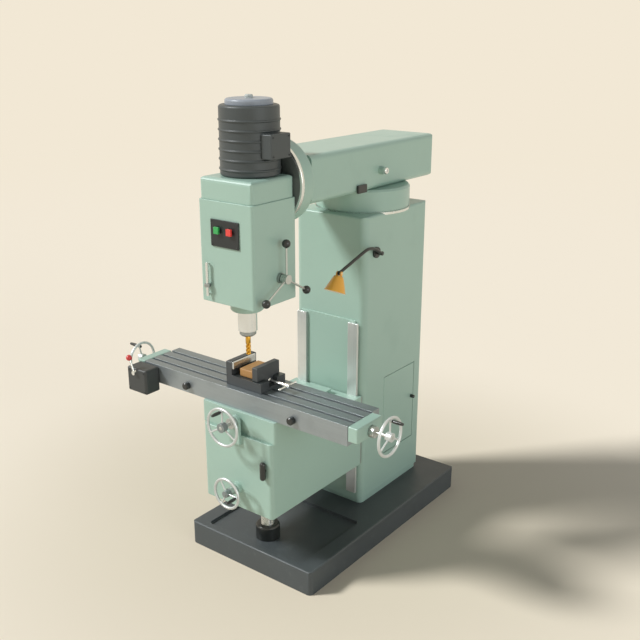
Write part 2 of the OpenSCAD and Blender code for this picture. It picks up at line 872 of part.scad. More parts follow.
module feed_pinion() {
    color("#8d9190") {
        translate([-rack_half, feed_y, feed_z]) rotate([0, 90, 0]) rotate(180)
            linear_extrude(2 * rack_half)
            rotate(90 + 180 / rack_z) gear_outline(gear_m, rack_z, 0.3);
        along_x(-58, feed_hub_x, feed_y, feed_z, 8);
        difference() {
            along_x(head_half + gap, head_half + 14, feed_y, feed_z, 22);
            along_x(head_half, head_half + 15, feed_y, feed_z, 7);
        }
    }
}

module feed_handle() {
    color("#9ea3a0") difference() {
        along_x(feed_hub_x - 20, feed_hub_x + 12, feed_y, feed_z, 20);
        along_x(feed_hub_x - 21, feed_hub_x + 1, feed_y, feed_z, 8 + run);
    }
    color("#cdd2cc") for (k = [0:2])
        translate([feed_hub_x, feed_y, feed_z]) rotate([120 * k, 0, 0]) along_z(12, spoke_l - 6, 0, 0, 4.5);
    color("#262a29") for (k = [0:2])
        translate([feed_hub_x, feed_y, feed_z]) rotate([120 * k, 0, 0])
            translate([0, 0, spoke_l]) sphere(ball_r);
}

module switch_panel() {
    color("#343836") difference() {
        round_block([-76, head_front - panel_t, 1545], [76, head_front, 1656], 2);
        for (s = [-1, 1])
            along_y(head_front - panel_t - 1, head_front + 1, s * button_x, button_z, 7);
    }
}

module button(x) {
    y = head_front - panel_t;
    block([x - button_w / 2, y - 15, button_z - button_h / 2],
        [x + button_w / 2, y - 5, button_z + button_h / 2]);
    along_y(y - 5, y + 5.9, x, button_z, 7 - gap);
}

module start_button() {
    color("#3daa5a") button(-button_x);
}

module stop_button() {
    color("#e04b45") button(button_x);
}

module depth_stop_rod() {
    color("#cdd2cc") along_z(1328, 1472, stop_x, stop_y, stop_r);
    color("#cdd2cc") for (z = [1335, 1465]) along_y(stop_y, head_front, stop_x, z, 4);
}

module depth_stop_nut() {
    color("#9ea3a0") difference() {
        along_z(1368, 1382, stop_x, stop_y, 13.5);
        along_z(1367, 1383, stop_x, stop_y, stop_r + run);
    }
}

// Work lamp on the column's right side
module lamp_base() {
    color("#262a29") {
        along_x(col_half, col_half + 10, lamp_y, lamp_z, 26);
        along_x(col_half + 10, lamp_pin_x - 8, lamp_y, lamp_z, 9);
        along_x(lamp_pin_x - 8, lamp_pin_x + 9, lamp_y, lamp_z, 4.5);
    }
}

module rod(a, b, r) {
    d = b - a;
    l = norm(d);
    translate(a) rotate([0, acos(d[2] / l), atan2(d[1], d[0])]) cylinder(h = l, r = r);
}

// The arm's route: from the pin up to its bend, round it in short steps, then straight to the shade
lamp_elbow = [lamp_pin_x, lamp_y - 86, lamp_z + 50];
arm_start = [lamp_pin_x, lamp_y, lamp_z];
arm_end = shade_at + [0, 6, 3];
function toward(a, b, d) = a + d * (b - a) / norm(b - a);
function bend(a, b, c, t) = (1 - t) * (1 - t) * a + 2 * t * (1 - t) * b + t * t * c;
arm_route = concat(
    [arm_start],
    [for (t = [0, 0.5, 1]) bend(toward(lamp_elbow, arm_start, 50), lamp_elbow,
        toward(lamp_elbow, arm_end, 50), t)],
    [arm_end]
);

module lamp_arm() {
    color("#343836") difference() {
        union() {
            along_x(lamp_pin_x - 7.5, lamp_pin_x + 8, lamp_y, lamp_z, 10);
            for (k = [1:len(arm_route) - 1]) {
                rod(arm_route[k - 1], arm_route[k], 6.5);
                if (k < len(arm_route) - 1) translate(arm_route[k]) sphere(7.6);
            }
            translate(shade_at + [-7, 0, 0]) rotate([0, 90, 0]) cylinder(h = 14, r = 9);
        }
        along_x(lamp_pin_x - 9, lamp_pin_x + 10, lamp_y, lamp_z, 4.5 + run);
        translate(shade_at + [-20, 0, 0]) rotate([0, 90, 0]) cylinder(h = 40, r = 3 + run);
    }
}

module at_shade() {
    translate(shade_at) rotate([-shade_tilt, 0, 0]) children();
}

module lamp_shade() {
    color("#dda04a") at_shade() {
        rotate_extrude() polygon([
            [0, -12], [8, -12], [14, -15], [18, -22], [48, -84], [46, -84], [12.5, -24], [0, -22]
        ]);
        for (s = [-1, 1]) translate([s * 10.3, 0, 0]) difference() {
            union() {
                rotate([0, 90, 0]) translate([0, 0, -2.5]) cylinder(h = 5, r = 8);
                translate([-2.5, -6, -14]) cube([5, 12, 14]);
            }
        }
        rotate([0, 90, 0]) translate([0, 0, -10]) cylinder(h = 20, r = 3);
    }
}

module lamp_bulb() {
    color("#f4efdf") at_shade() rotate_extrude() polygon([
        [0, -22], [10, -24.2], [10, -36], [19, -50], [20, -58], [16, -67], [8, -72], [0, -73]
    ]);
}

// Knee
module knee() {
    cav_z0 = knee_z0 + knee_wall;
    color("#a8c0ae") difference() {
        union() {
            cast_block([-knee_half, knee_front, knee_z0], [knee_half, pad_front + slip, knee_z1],
                knee_r, 4, 4);
            block([-knee_half, knee_back - 60, knee_z0], [knee_half, pad_front + slip, knee_z1]);
            sweep_y(knee_front + 20, way_front - 40)
                dovetail(0, dove_half, knee_z1 - 0.01, dove_h, dove_run);
            along_y(knee_front - 18, knee_front + 2, 0, crank_z, 27);
            // lug that carries the cross screw in front of the saddle
            along_y(cross_lug_y, knee_front, 0, cross_z, 30);
            block([-30, cross_lug_y, knee_z1 - 42], [30, knee_front, cross_z]);
            block([-30, cross_lug_y, knee_z1 - 42], [30, knee_front + 4, knee_z1 - 6]);
        }
        // clearance for the strips, between the cheeks
        block([-way_out - slip, knee_back, knee_z0 - 1], [way_out + slip, 0, knee_z1 + 30]);
        // room inside the casting
        block([-knee_half + knee_wall, knee_front + knee_wall, cav_z0],
            [knee_half - knee_wall, knee_back - 90, knee_z1 - knee_wall]);
        along_z(knee_z0 - 1, cav_z0 + 1, 0, knee_screw_y, knee_screw_r + 1);
        along_y(knee_front - 19, knee_front + knee_wall + 1, 0, crank_z, crank_shaft_r + run);
        along_y(knee_front - 1, knee_front + 20, lock_x, lock_z, 7 + run);
        along_y(cross_lug_y - 1, knee_front + 1, 0, cross_z, cross_r + run);
    }
    // bearing posts inside for the screw's journal and the crank shaft
    color("#a8c0ae") {
        difference() {
            along_z(gear_top + gap, knee_z1 - knee_wall + 1, 0, knee_screw_y, 36);
            along_z(gear_top, knee_z1 - knee_wall - 8, 0, knee_screw_y, 16 + run);
        }
        difference() {
            block([-20, knee_screw_y - 85, cav_z0 - 1], [20, knee_screw_y - 65, crank_z + 22]);
            along_y(knee_screw_y - 86, knee_screw_y - 64, 0, crank_z, crank_shaft_r + run);
        }
    }
}

module knee_keepers() {
    color("#8f9a92") for (s = [-1, 1]) {
        mirror([s > 0 ? 0 : 1, 0, 0])
            block([keeper_in, pad_front + slip, knee_z0 + 4],
                [knee_half, col_front - 0.6, knee_z1 - 4]);
    }
}

module knee_screw() {
    color("#b4b7b5") {
        along_z(knee_screw_z0, knee_z0 + knee_wall + 10, 0, knee_screw_y, knee_screw_r);
        along_z(knee_z0 + knee_wall + 10, knee_z1 - knee_wall - 9, 0, knee_screw_y, 16);
    }
    // bevel gear, with its pitch cone's point where the two shafts cross
    color("#9a9d9b") translate([0, knee_screw_y, crank_z]) rotate_extrude() polygon([
        [17, 11], [30, pinion_r * 0.75 + 2.4], [2 * pinion_r + 1, pinion_r + 2.4],
        [2 * pinion_r - 2, pinion_r + 10], [24, pinion_r + 14], [24, pinion_r + 24],
        [15, pinion_r + 24], [15, 11]
    ]);
}

module knee_crank() {
    color("#cdd2cc") translate([0, crank_wheel_y, crank_z]) rotate([90, 0, 0])
        rotate(270) handwheel(crank_wheel_r, 16, 26, crank_shaft_r - 2 + run);
    color("#9ea3a0") {
        along_y(crank_wheel_y - 15, crank_wheel_y + 15, 0, crank_z, crank_shaft_r - 2);
        along_y(crank_wheel_y + 13, knee_screw_y - 30, 0, crank_z, crank_shaft_r);
        along_y(crank_wheel_y + 13, knee_front - 20, 0, crank_z, 19);
        translate([0, knee_screw_y, crank_z]) rotate([90, 0, 0]) rotate_extrude() polygon([
            [9, 30], [15.5, 30], [pinion_r - 2, 2 * pinion_r - 1],
            [pinion_r - 5, 2 * pinion_r + 5], [9, 2 * pinion_r + 5]
        ]);
    }
}

// Place of a handwheel's grip, with the wheel turned by a
function grip_at(outer, a) = (outer - rim_r - 9) * [cos(90 + a), sin(90 + a)];

module knee_crank_handle() {
    p = grip_at(crank_wheel_r, 270);
    color("#262a29") translate([0, crank_wheel_y, crank_z]) rotate([90, 0, 0])
        translate([p[0], p[1], 0]) grip();
}

module knee_lock_handle() {
    y = knee_front - 15;
    color("#262a29") {
        along_z(lock_z - 31, lock_z + 31, lock_x, y, 13);
        for (s = [-1, 1]) translate([lock_x, y, lock_z + s * 31]) sphere(13);
        along_y(y, knee_front + 18, lock_x, lock_z, 7);
    }
}

// Saddle and cross feed
module saddle() {
    color("#a8c0ae") difference() {
        union() {
            round_block([-saddle_half, saddle_front, saddle_z0 + slip],
                [saddle_half, saddle_back, saddle_z1], 9);
            sweep_x(-saddle_half + 4, saddle_half - 4)
                dovetail(table_y, dove_half, saddle_z1 - 0.01, dove_h, dove_run);
        }
        sweep_y(saddle_front - 1, saddle_back + 1)
            dovetail_groove(0, dove_half, saddle_z0, dove_h, dove_run);
        // tunnel for the cross screw and its nut
        block([-24, nut_y, saddle_z0 + dove_h - 2], [24, saddle_back + 1, saddle_z1 - 18]);
        along_y(saddle_front - 1, nut_y + 1, 0, cross_z, cross_r + 2);
    }
    // nut of the table screw, in the table's tunnel
    color("#b08d4a") difference() {
        block([-35, screw_y - tunnel_half + 4, saddle_z1 + dove_h], [35, screw_y + tunnel_half - 4, tunnel_top - 1.2]);
        along_x(-36, 36, screw_y, screw_z, screw_r + run);
    }
}

module cross_nut() {
    color("#b08d4a") difference() {
        block([-24, nut_y, cross_z - 22], [24, nut_y + nut_len, saddle_z1 - 18]);
        along_y(nut_y - 1, nut_y + nut_len + 1, 0, cross_z, cross_r + run);
    }
}

module cross_screw() {
    color("#b4b7b5") {
        along_y(cross_lug_y - 24, screw_back, 0, cross_z, cross_r);
        along_y(cross_wheel_y - 13, cross_lug_y - 23, 0, cross_z, cross_r - 2);
        // graduated dial
        along_y(cross_lug_y - 23, cross_lug_y - slip, 0, cross_z, 25);
    }
}

module cross_wheel() {
    color("#cdd2cc") translate([0, cross_wheel_y, cross_z]) rotate([90, 0, 0])
        handwheel(wheel_r, 21, 26, cross_r - 2 + run);
}

module cross_handle() {
    p = grip_at(wheel_r, 0);
    color("#262a29") translate([0, cross_wheel_y, cross_z]) rotate([90, 0, 0])
        translate([p[0], p[1], 0]) grip();
}

// Table, its screw, brackets and handwheels
module t_slot(y) {
    sweep_x(table_x0 - 1, table_x1 + 1) polygon([
        [y - slot_w / 2, table_z1 + 1], [y - slot_w / 2, table_z1 - 9],
        [y - slot_w, table_z1 - 9], [y - slot_w, table_z1 - 17],
        [y + slot_w, table_z1 - 17], [y + slot_w, table_z1 - 9],
        [y + slot_w / 2, table_z1 - 9], [y + slot_w / 2, table_z1 + 1]
    ]);
}

module table() {
    color("#8a8f8f") difference() {
        block([table_x0, table_front, table_z0 + slip], [table_x1, table_back, table_z1]);
        for (k = [-1:1]) t_slot(table_y - 5 + k * slot_pitch);
        sweep_x(table_x0 - 1, table_x1 + 1)
            dovetail_groove(table_y, dove_half, table_z0, dove_h, dove_run);
        block([table_x0 - 1, screw_y - tunnel_half, table_z0 + dove_h - 2],
            [table_x1 + 1, screw_y + tunnel_half, tunnel_top]);
    }
}

module table_brackets() {
    color("#a8c0ae") for (x = [table_x0 - bracket_t, table_x1]) difference() {
        cast_block([x, table_front, table_z1 - bracket_h], [x + bracket_t, bracket_y1, table_z1],
            7, 6, 6);
        along_x(x - 1, x + bracket_t + 1, screw_y, screw_z, screw_r + run);
    }
}

module table_screw() {
    color("#b4b7b5") {
        along_x(wheel_left_x - 14, wheel_x + 14, screw_y, screw_z, screw_r - 2);
        along_x(table_x0 - bracket_t - 2, table_x1 + bracket_t + 2, screw_y, screw_z, screw_r);
        // graduated dials at both ends
        along_x(table_x1 + bracket_t + gap, table_x1 + bracket_t + 24, screw_y, screw_z, 24);
        along_x(table_x0 - bracket_t - 24, table_x0 - bracket_t - gap, screw_y, screw_z, 24);
    }
}

module table_wheels() {
    color("#cdd2cc") {
        translate([wheel_x, screw_y, screw_z]) rotate([90, 0, 90])
            handwheel(wheel_r - 4, 19, 26, screw_r - 2 + run);
        translate([wheel_left_x, screw_y, screw_z]) rotate([90, 0, -90]) rotate(-14)
            handwheel(wheel_r - 10, 19, 26, screw_r - 2 + run);
    }
}

module table_handle_right() {
    p = grip_at(wheel_r - 4, 0);
    color("#262a29") translate([wheel_x, screw_y, screw_z]) rotate([90, 0, 90])
        translate([p[0], p[1], 0]) grip();
}

module table_handle_left() {
    p = grip_at(wheel_r - 10, -14);
    color("#262a29") translate([wheel_left_x, screw_y, screw_z]) rotate([90, 0, -90])
        translate([p[0], p[1], 0]) grip();
}

feed_x0 = table_x0 - 28;
feed_y1 = table_front;
feed_z1 = table_z1 - 4;

module feed_box() {
    color("#4a4a4a") difference() {
        cast_block([feed_x0, feed_y1 - feed_d, feed_z1 - feed_h], [feed_x0 + feed_w, feed_y1, feed_z1],
            14, 12, 12);
        along_y(feed_y1 - feed_d - 1, feed_y1 - feed_d + 25, feed_x0 + 62, feed_z1 - 18, 6 + run);
    }
}

module feed_lever() {
    x = feed_x0 + 62;
    y = feed_y1 - feed_d;
    z = feed_z1 - 18;
    color("#cdd2cc") {
        along_y(y - 16, y + 24, x, z, 6);
        along_y(y - 16, y - gap, x, z, 10);
        rod([x, y - 9, z], [x - 17, y - 16, z + 64], 5);
    }
    color("#c93b3b") translate([x - 19, y - 17, z + 72]) sphere(14);
}

module table_stops() {
    color("#262a29") for (x = [-316, 295]) {
        along_y(table_front - 20, table_front, x, table_z0 + 36, 17);
        translate([x, table_front - 20, table_z0 + 36]) rotate([90, 0, 0])
            cylinder(h = 4, r1 = 17, r2 = 13);
    }
}

// Vise and workpiece
module vise_body() {
    color("#4a4d4f") {
        difference() {
            union() {
                block([vise_x0, vise_y0, table_z1], [vise_x1, vise_y1, bed_z]);
                cast_block([vise_x0, vise_y0, table_z1 + 2], [vise_x0 + jaw_t, vise_y1, jaw_z], 1, 5, 5);
            }
            block([vise_x0 + jaw_t, vise_y - vise_channel, vise_floor],
                [vise_x1 + 1, vise_y + vise_channel, bed_z + 1]);
        }
        // nut of the vise screw
        difference() {
            block([vise_x0 + jaw_t + 20, vise_y - vise_channel, vise_floor],
                [vise_x0 + jaw_t + 50, vise_y + vise_channel, bed_z - 1]);
            along_x(vise_x0, vise_x1, vise_y, vise_screw_z, vise_screw_r + run);
        }
    }
    color("#cdd2d4") block([plate_x, vise_y0 + 4, bed_z + 30], [plate_x + plate_t, vise_y1 - 14, jaw_z - 2]);
}

module vise_moving_jaw() {
    z0 = bed_z + slip;
    color("#4a4d4f") difference() {
        union() {
            cast_block([moving_x, vise_y0 + 6, z0], [moving_x + moving_t, vise_y1 - 10, jaw_z], 2, 5, 5);
            block([moving_x, vise_y - vise_channel + slip, vise_floor + slip],
                [moving_x + moving_t, vise_y + vise_channel - slip, z0 + 10]);
        }
        along_x(moving_x - 1, moving_x + moving_t + 1, vise_y, vise_screw_z, vise_screw_r + run);
    }
}

module vise_screw() {
    color("#cdd2d4") {
        difference() {
            union() {
                along_x(plate_x + 12, bar_x + 12, vise_y, vise_screw_z, vise_screw_r);
                along_x(moving_x + moving_t + gap, moving_x + moving_t + 6, vise_y, vise_screw_z, 12);
                along_x(bar_x - 12, bar_x + 12, vise_y, vise_screw_z, 10);
            }
            along_y(vise_y - 20, vise_y + 20, bar_x, vise_screw_z, bar_r + run);
        }
        along_y(vise_y - 52, vise_y + 52, bar_x, vise_screw_z, bar_r);
        for (s = [-1, 1]) translate([bar_x, vise_y + s * 52, vise_screw_z]) sphere(6.5);
    }
}

module workpiece() {
    color("#b98a4a") cast_block([-42, vise_y0 + 18, bed_z], [38, vise_y1 - 20, bed_z + 38],
        9, 8, 8);
}

base();
knee_screw_nut();
column();
column_ways();
column_door();
door_knob();
turret();
turret_scale();
ram();
ram_lock_bolt();
ram_stop_block();
tilt_flange();
tilt_scale();
head_body();
head_cap();
motor_body();
motor_cap();
motor_box();
motor_rotor();
spindle_gear();
quill_nose();
quill();
quill_bearings();
spindle();
end_mill();
feed_pinion();
feed_handle();
switch_panel();
start_button();
stop_button();
depth_stop_rod();
depth_stop_nut();
lamp_base();
lamp_arm();
lamp_shade();
lamp_bulb();
knee();
knee_keepers();
knee_screw();
knee_crank();
knee_crank_handle();
knee_lock_handle();
saddle();
cross_nut();
cross_screw();
cross_wheel();
cross_handle();
table();
table_brackets();
table_screw();
table_wheels();
table_handle_right();
table_handle_left();
feed_box();
feed_lever();
table_stops();
vise_body();
vise_moving_jaw();
vise_screw();
workpiece();
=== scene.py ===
"""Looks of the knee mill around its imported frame: finishes, threads, scales, screws and light."""
import json
import math

import bmesh
import bpy
from mathutils import Matrix, Vector
from mathutils.bvhtree import BVHTree

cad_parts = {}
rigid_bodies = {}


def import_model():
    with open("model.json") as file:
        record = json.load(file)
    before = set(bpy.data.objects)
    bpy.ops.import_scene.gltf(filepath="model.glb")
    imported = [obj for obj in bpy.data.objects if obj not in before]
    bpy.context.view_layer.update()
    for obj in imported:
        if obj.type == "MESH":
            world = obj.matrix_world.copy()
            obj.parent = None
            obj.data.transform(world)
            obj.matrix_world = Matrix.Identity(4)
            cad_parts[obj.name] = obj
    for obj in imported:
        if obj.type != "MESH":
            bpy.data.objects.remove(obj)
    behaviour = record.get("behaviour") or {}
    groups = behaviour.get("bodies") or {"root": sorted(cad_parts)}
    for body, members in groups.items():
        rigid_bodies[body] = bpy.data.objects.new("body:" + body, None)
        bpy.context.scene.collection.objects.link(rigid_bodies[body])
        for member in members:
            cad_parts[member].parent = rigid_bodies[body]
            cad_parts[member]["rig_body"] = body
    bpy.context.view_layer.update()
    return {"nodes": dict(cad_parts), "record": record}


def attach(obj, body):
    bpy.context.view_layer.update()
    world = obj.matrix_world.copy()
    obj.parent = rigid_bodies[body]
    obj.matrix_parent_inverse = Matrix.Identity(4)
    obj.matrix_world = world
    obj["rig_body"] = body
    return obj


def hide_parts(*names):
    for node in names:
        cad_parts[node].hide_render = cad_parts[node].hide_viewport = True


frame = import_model()
mm = 0.001

QUARTER, FULL = math.pi / 2, 2 * math.pi
CRISP = math.radians(35)  # an edge that turns by more than this stays crisp
BACKDROP = "#f2e8d5"

# The photograph's view: azimuth from -Y towards +X, elevation above the floor, place in metres
VIEW_AZIMUTH, VIEW_ELEVATION = 37.5753, 18.5641
VIEW_PLACE = (2.4297, -3.2440, 2.4100)

# Axes and pins of the machine, in mm
KNEE_SCREW_Y = -489
SPINDLE_Y = -591
MOTOR_Y = -549
FEED_Y, FEED_Z = -548, 1408
CROSS_Z, CRANK_Z = 770, 447
TILT_Z, TILT_RADIUS = 1775.1, 182
ARM_PIN, SHADE_PIN = (235, 72, 1401), (222, -235, 1372)
SHADE_LEAN = math.radians(24)


# Camera and light
def place_camera():
    """The photograph's view, through a 50 mm lens on 36 mm film."""
    data = bpy.data.cameras.new("camera")
    data.lens, data.sensor_width = 50, 36
    data.clip_end = 2000
    camera = bpy.data.objects.new("camera", data)
    camera.location = VIEW_PLACE
    camera.rotation_euler = (math.radians(90 - VIEW_ELEVATION), 0, math.radians(VIEW_AZIMUTH))
    bpy.context.scene.collection.objects.link(camera)
    bpy.context.scene.camera = camera


def sun(name, strength, softness, azimuth, elevation, colour):
    """A lamp at infinity. Azimuth runs from -Y towards +X, as the camera's does."""
    data = bpy.data.lights.new(name, "SUN")
    data.energy, data.angle, data.color = strength, math.radians(softness), colour
    lamp = bpy.data.objects.new(name, data)
    lamp.rotation_euler = (math.radians(90 - elevation), 0, math.radians(azimuth))
    bpy.context.scene.collection.objects.link(lamp)


# Node maths as Python expressions
class Wire:
    """A socket in a node tree. Sums, products and comparisons of wires add Math nodes."""

    def __init__(self, graph, socket):
        self.graph, self.socket = graph, socket

    def math(self, operation, *others):
        values = {i: v for i, v in enumerate((self, *others))}
        return self.graph.node("Math", {"operation": operation}, values)

    def __add__(self, other):
        return self.math("ADD", other)

    def __sub__(self, other):
        return self.math("SUBTRACT", other)

    def __mul__(self, other):
        return self.math("MULTIPLY", other)

    def __truediv__(self, other):
        return self.math("DIVIDE", other)

    def __pow__(self, other):
        return self.math("POWER", other)

    def __rsub__(self, other):
        return self.graph.node("Math", {"operation": "SUBTRACT"}, {0: other, 1: self})

    __radd__ = __add__
    __rmul__ = __mul__

    def above(self, level):
        return self.math("GREATER_THAN", level)

    def step(self, low, high):
        """0 below low, 1 above high, smooth between them."""
        settings = {"interpolation_type": "SMOOTHSTEP", "clamp": True}
        values = {"Value": self, "From Min": low, "From Max": high}
        return self.graph.node("MapRange", settings, values)


class Graph:
    """A node tree under construction."""

    def __init__(self, tree):
        self.tree = tree

    def node(self, kind, settings=None, values=None, out=0):
        """Any node: its type, its settings, then its sockets' values or links."""
        whole = kind.startswith(("GeometryNode", "FunctionNode"))
        made = self.tree.nodes.new(kind if whole else "ShaderNode" + kind)
        for key, value in (settings or {}).items():
            setattr(made, key, value)
        for key, value in (values or {}).items():
            self.join(made.inputs[key], value)
        return Wire(self, made.outputs[out]) if len(made.outputs) else None

    def join(self, socket, value):
        if isinstance(value, Wire):
            self.tree.links.new(value.socket, socket)
        elif socket.type == "RGBA" and len(value) == 3:
            socket.default_value = (*value, 1)
        else:
            socket.default_value = value

    def parts(self, vector, axes="XYZ"):
        """A vector's coordinates along some axes, each as a wire."""
        return [self.node("SeparateXYZ", None, {"Vector": vector}, out=axis) for axis in axes]


class Finish(Graph):
    """A material under construction."""

    def __init__(self, name):
        self.material = bpy.data.materials.new(name)
        self.material.use_nodes = True
        super().__init__(self.material.node_tree)
        self.tree.nodes.clear()
        self.place = self.node("TexCoord", out="Object")

    def stretched(self, scale):
        """The object's own coordinates, scaled by a different amount along each axis."""
        return self.node("Mapping", None, {"Vector": self.place, "Scale": scale})

    def noise(self, scale, detail=3, place=None, rough=0.5):
        values = {"Vector": place or self.place, "Scale": scale, "Detail": detail,
                  "Roughness": rough}
        return self.node("TexNoise", None, values)

    def blend(self, factor, first, second, how="MIX"):
        """Two colours mixed."""
        settings = {"data_type": "RGBA", "blend_type": how, "clamp_factor": True}
        return self.node("Mix", settings, {0: factor, 6: first, 7: second}, out=2)

    def shade(self, colour, amount):
        """A colour made lighter or darker by a wire about 1."""
        grey = self.node("CombineColor", None, {0: amount, 1: amount, 2: amount})
        return self.blend(1.0, colour, grey, "MULTIPLY")

    def bump(self, height, distance, strength=1.0, under=None):
        values = {"Height": height, "Distance": distance, "Strength": strength}
        if under:
            values["Normal"] = under
        return self.node("Bump", None, values)

    def edges(self, radius=2.5 * mm):
        """1 along sharp edges and 0 on open faces."""
        round_normal = self.node("Bevel", {"samples": 6}, {"Radius": radius})
        true_normal = self.node("NewGeometry", out="Normal")
        both = {0: round_normal, 1: true_normal}
        same = self.node("VectorMath", {"operation": "DOT_PRODUCT"}, both, out="Value")
        return ((1 - same) * 3.0).step(0.05, 0.6)

    def surface(self, **sockets):
        """The shader, with named sockets, joined to the output."""
        named = {key.replace("_", " "): value for key, value in sockets.items()}
        shader = self.node("BsdfPrincipled", None, named)
        self.node("OutputMaterial", None, {"Surface": shader})
        return self.material


def linear(code):
    """A colour from its web code, as the shader wants it."""
    parts = [int(code[i:i + 2], 16) / 255 for i in (1, 3, 5)]
    return tuple(c / 12.92 if c < 0.04045 else ((c + 0.055) / 1.055) ** 2.4 for c in parts)


class Growth(Graph):
    """A Geometry Nodes tree under construction, with a named input for each size."""

    def __init__(self, name, **sizes):
        super().__init__(bpy.data.node_groups.new(name, "GeometryNodeTree"))
        face = self.tree.interface
        face.new_socket("Geometry", in_out="OUTPUT", socket_type="NodeSocketGeometry")
        face.new_socket("Geometry", in_out="INPUT", socket_type="NodeSocketGeometry")
        sizes |= {"Centre": "Vector", "Turn": "Vector", "Finish": "Material"}
        for size, kind in sizes.items():
            face.new_socket(size, in_out="INPUT", socket_type="NodeSocket" + kind)
        self.source = self.tree.nodes.new("NodeGroupInput")

    def size(self, name):
        return Wire(self, self.source.outputs[name])

    def vector(self, x, y, z):
        return self.node("CombineXYZ", None, {"X": x, "Y": y, "Z": z})

    def round_z(self, angle, radius, z):
        """The place at an angle and a radius about the Z axis."""
        return self.vector(angle.math("COSINE") * radius, angle.math("SINE") * radius, z)

    def cylinder(self, sides, rows, radius, length):
        """A closed cylinder about the Z axis, its wall cut into rows."""
        values = {"Vertices": sides, "Side Segments": rows, "Radius": radius, "Depth": length}
        return self.node("GeometryNodeMeshCylinder", {"fill_type": "NGON"}, values)

    def reshaped(self, geometry, place):
        """Geometry with each point moved to a place of its own."""
        return self.node("GeometryNodeSetPosition", None, {"Geometry": geometry, "Position": place})

    def moved(self, geometry, place, turn=(0, 0, 0)):
        values = {"Geometry": geometry, "Translation": place, "Rotation": turn}
        return self.node("GeometryNodeTransform", None, values)

    def done(self, geometry):
        """Placed, made real and given its finish."""
        placed = self.moved(geometry, self.size("Centre"), self.size("Turn"))
        real = self.node("GeometryNodeRealizeInstances", None, {"Geometry": placed})
        values = {"Geometry": real, "Material": self.size("Finish")}
        last = self.node("GeometryNodeSetMaterial", None, values)
        outlet = self.tree.nodes.new("NodeGroupOutput")
        self.tree.links.new(last.socket, outlet.inputs[0])
        return self.tree


def bars_round_a_ring():
    """Short bars round the Z axis, every so many of them longer: graduations or knurling."""
    g = Growth("bars_round_a_ring", Count="Int", Radius="Float", Reach="Float", Length="Float",
               Width="Float", Every="Int", Longer="Float", Sweep="Float")
    index = g.node("GeometryNodeInputIndex")
    angle = index * g.size("Sweep") / g.size("Count")
    values = {"Count": g.size("Count"), "Position": g.round_z(angle, g.size("Radius"), 0.0)}
    points = g.node("GeometryNodePoints", None, values)
    size = g.vector(g.size("Reach"), g.size("Width"), g.size("Length"))
    bar = g.node("GeometryNodeMeshCube", None, {"Size": size})
    bar = g.moved(bar, g.vector(0.0, 0.0, g.size("Length") * 0.5))
    extra = (1 - index.math("FLOORED_MODULO", g.size("Every")).above(0.5)) * (g.size("Longer") - 1.0)
    values = {"Points": points, "Instance": bar, "Rotation": g.vector(0.0, 0.0, angle),
              "Scale": g.vector(1.0, 1.0, 1.0 + extra)}
    return g.done(g.node("GeometryNodeInstanceOnPoints", None, values))


def screw_thread():
    """A thread about the Z axis as a height map on a tube whose ends dip into the screw's core."""
    g = Growth("screw_thread", Radius="Float", Depth="Float", Pitch="Float", Length="Float",
               Around="Int")
    pitch, length = g.size("Pitch"), g.size("Length")
    tube = g.cylinder(g.size("Around"), length / pitch * 8.0, g.size("Radius"), length)
    x, y, z = g.parts(g.node("GeometryNodeInputPosition"))
    angle = y.math("ARCTAN2", x)
    phase = (z / pitch - angle / FULL).math("FRACT")
    slope = (phase - 0.5).math("ABSOLUTE") * 2.0
    values = {"Value": slope, "From Min": 0.25, "From Max": 0.7}
    crest = g.node("MapRange", {"clamp": True}, values)
    inner = 1 - z.math("ABSOLUTE").above(length * 0.5 - pitch * 0.2)
    radius = g.size("Radius") - g.size("Depth") * (1 - crest * inner) - (1 - inner) * 0.2 * mm
    return g.done(g.reshaped(tube, g.round_z(angle, radius, z)))


def socket_screws():
    """A cap screw with a hexagon socket at each point of the object, facing one way."""
    g = Growth("socket_screws", Radius="Float", Height="Float", Facing="Vector")
    radius, height = g.size("Radius"), g.size("Height")
    head = g.cylinder(28, 5, radius, height)
    x, y, z = g.parts(g.node("GeometryNodeInputPosition"))
    shrink = 1 - z.above(height * 0.45) * 0.16
    head = g.reshaped(head, g.vector(x * shrink, y * shrink, z))
    key = g.moved(g.cylinder(6, 1, radius * 0.5, height), g.vector(0.0, 0.0, height * 0.6))
    values = {"Mesh 1": head, "Mesh 2": key}
    head = g.node("GeometryNodeMeshBoolean", {"operation": "DIFFERENCE"}, values)
    turn = g.node("FunctionNodeAlignRotationToVector", {"axis": "Z"}, {"Vector": g.size("Facing")})
    values = {"Points": g.size("Geometry"), "Instance": head, "Rotation": turn}
    return g.done(g.node("GeometryNodeInstanceOnPoints", None, values))


def helical_flutes():
    """A cutter's fluted length about the Z axis: its wall dips along twisted channels."""
    g = Growth("helical_flutes", Radius="Float", Depth="Float", Lead="Float", Length="Float",
               Flutes="Int")
    tube = g.cylinder(96, 60, g.size("Radius"), g.size("Length"))
    x, y, z = g.parts(g.node("GeometryNodeInputPosition"))
    angle = y.math("ARCTAN2", x)
    phase = ((angle / FULL - z / g.size("Lead")) * g.size("Flutes")).math("FRACT")
    dip = phase.math("MINIMUM", (1 - phase) * 3.0).step(0.08, 0.75)
    fade = (g.size("Length") * 0.5 - z).step(0.0, 9 * mm)
    radius = g.size("Radius") - g.size("Depth") * dip * fade
    return g.done(g.reshaped(tube, g.round_z(angle, radius, z)))


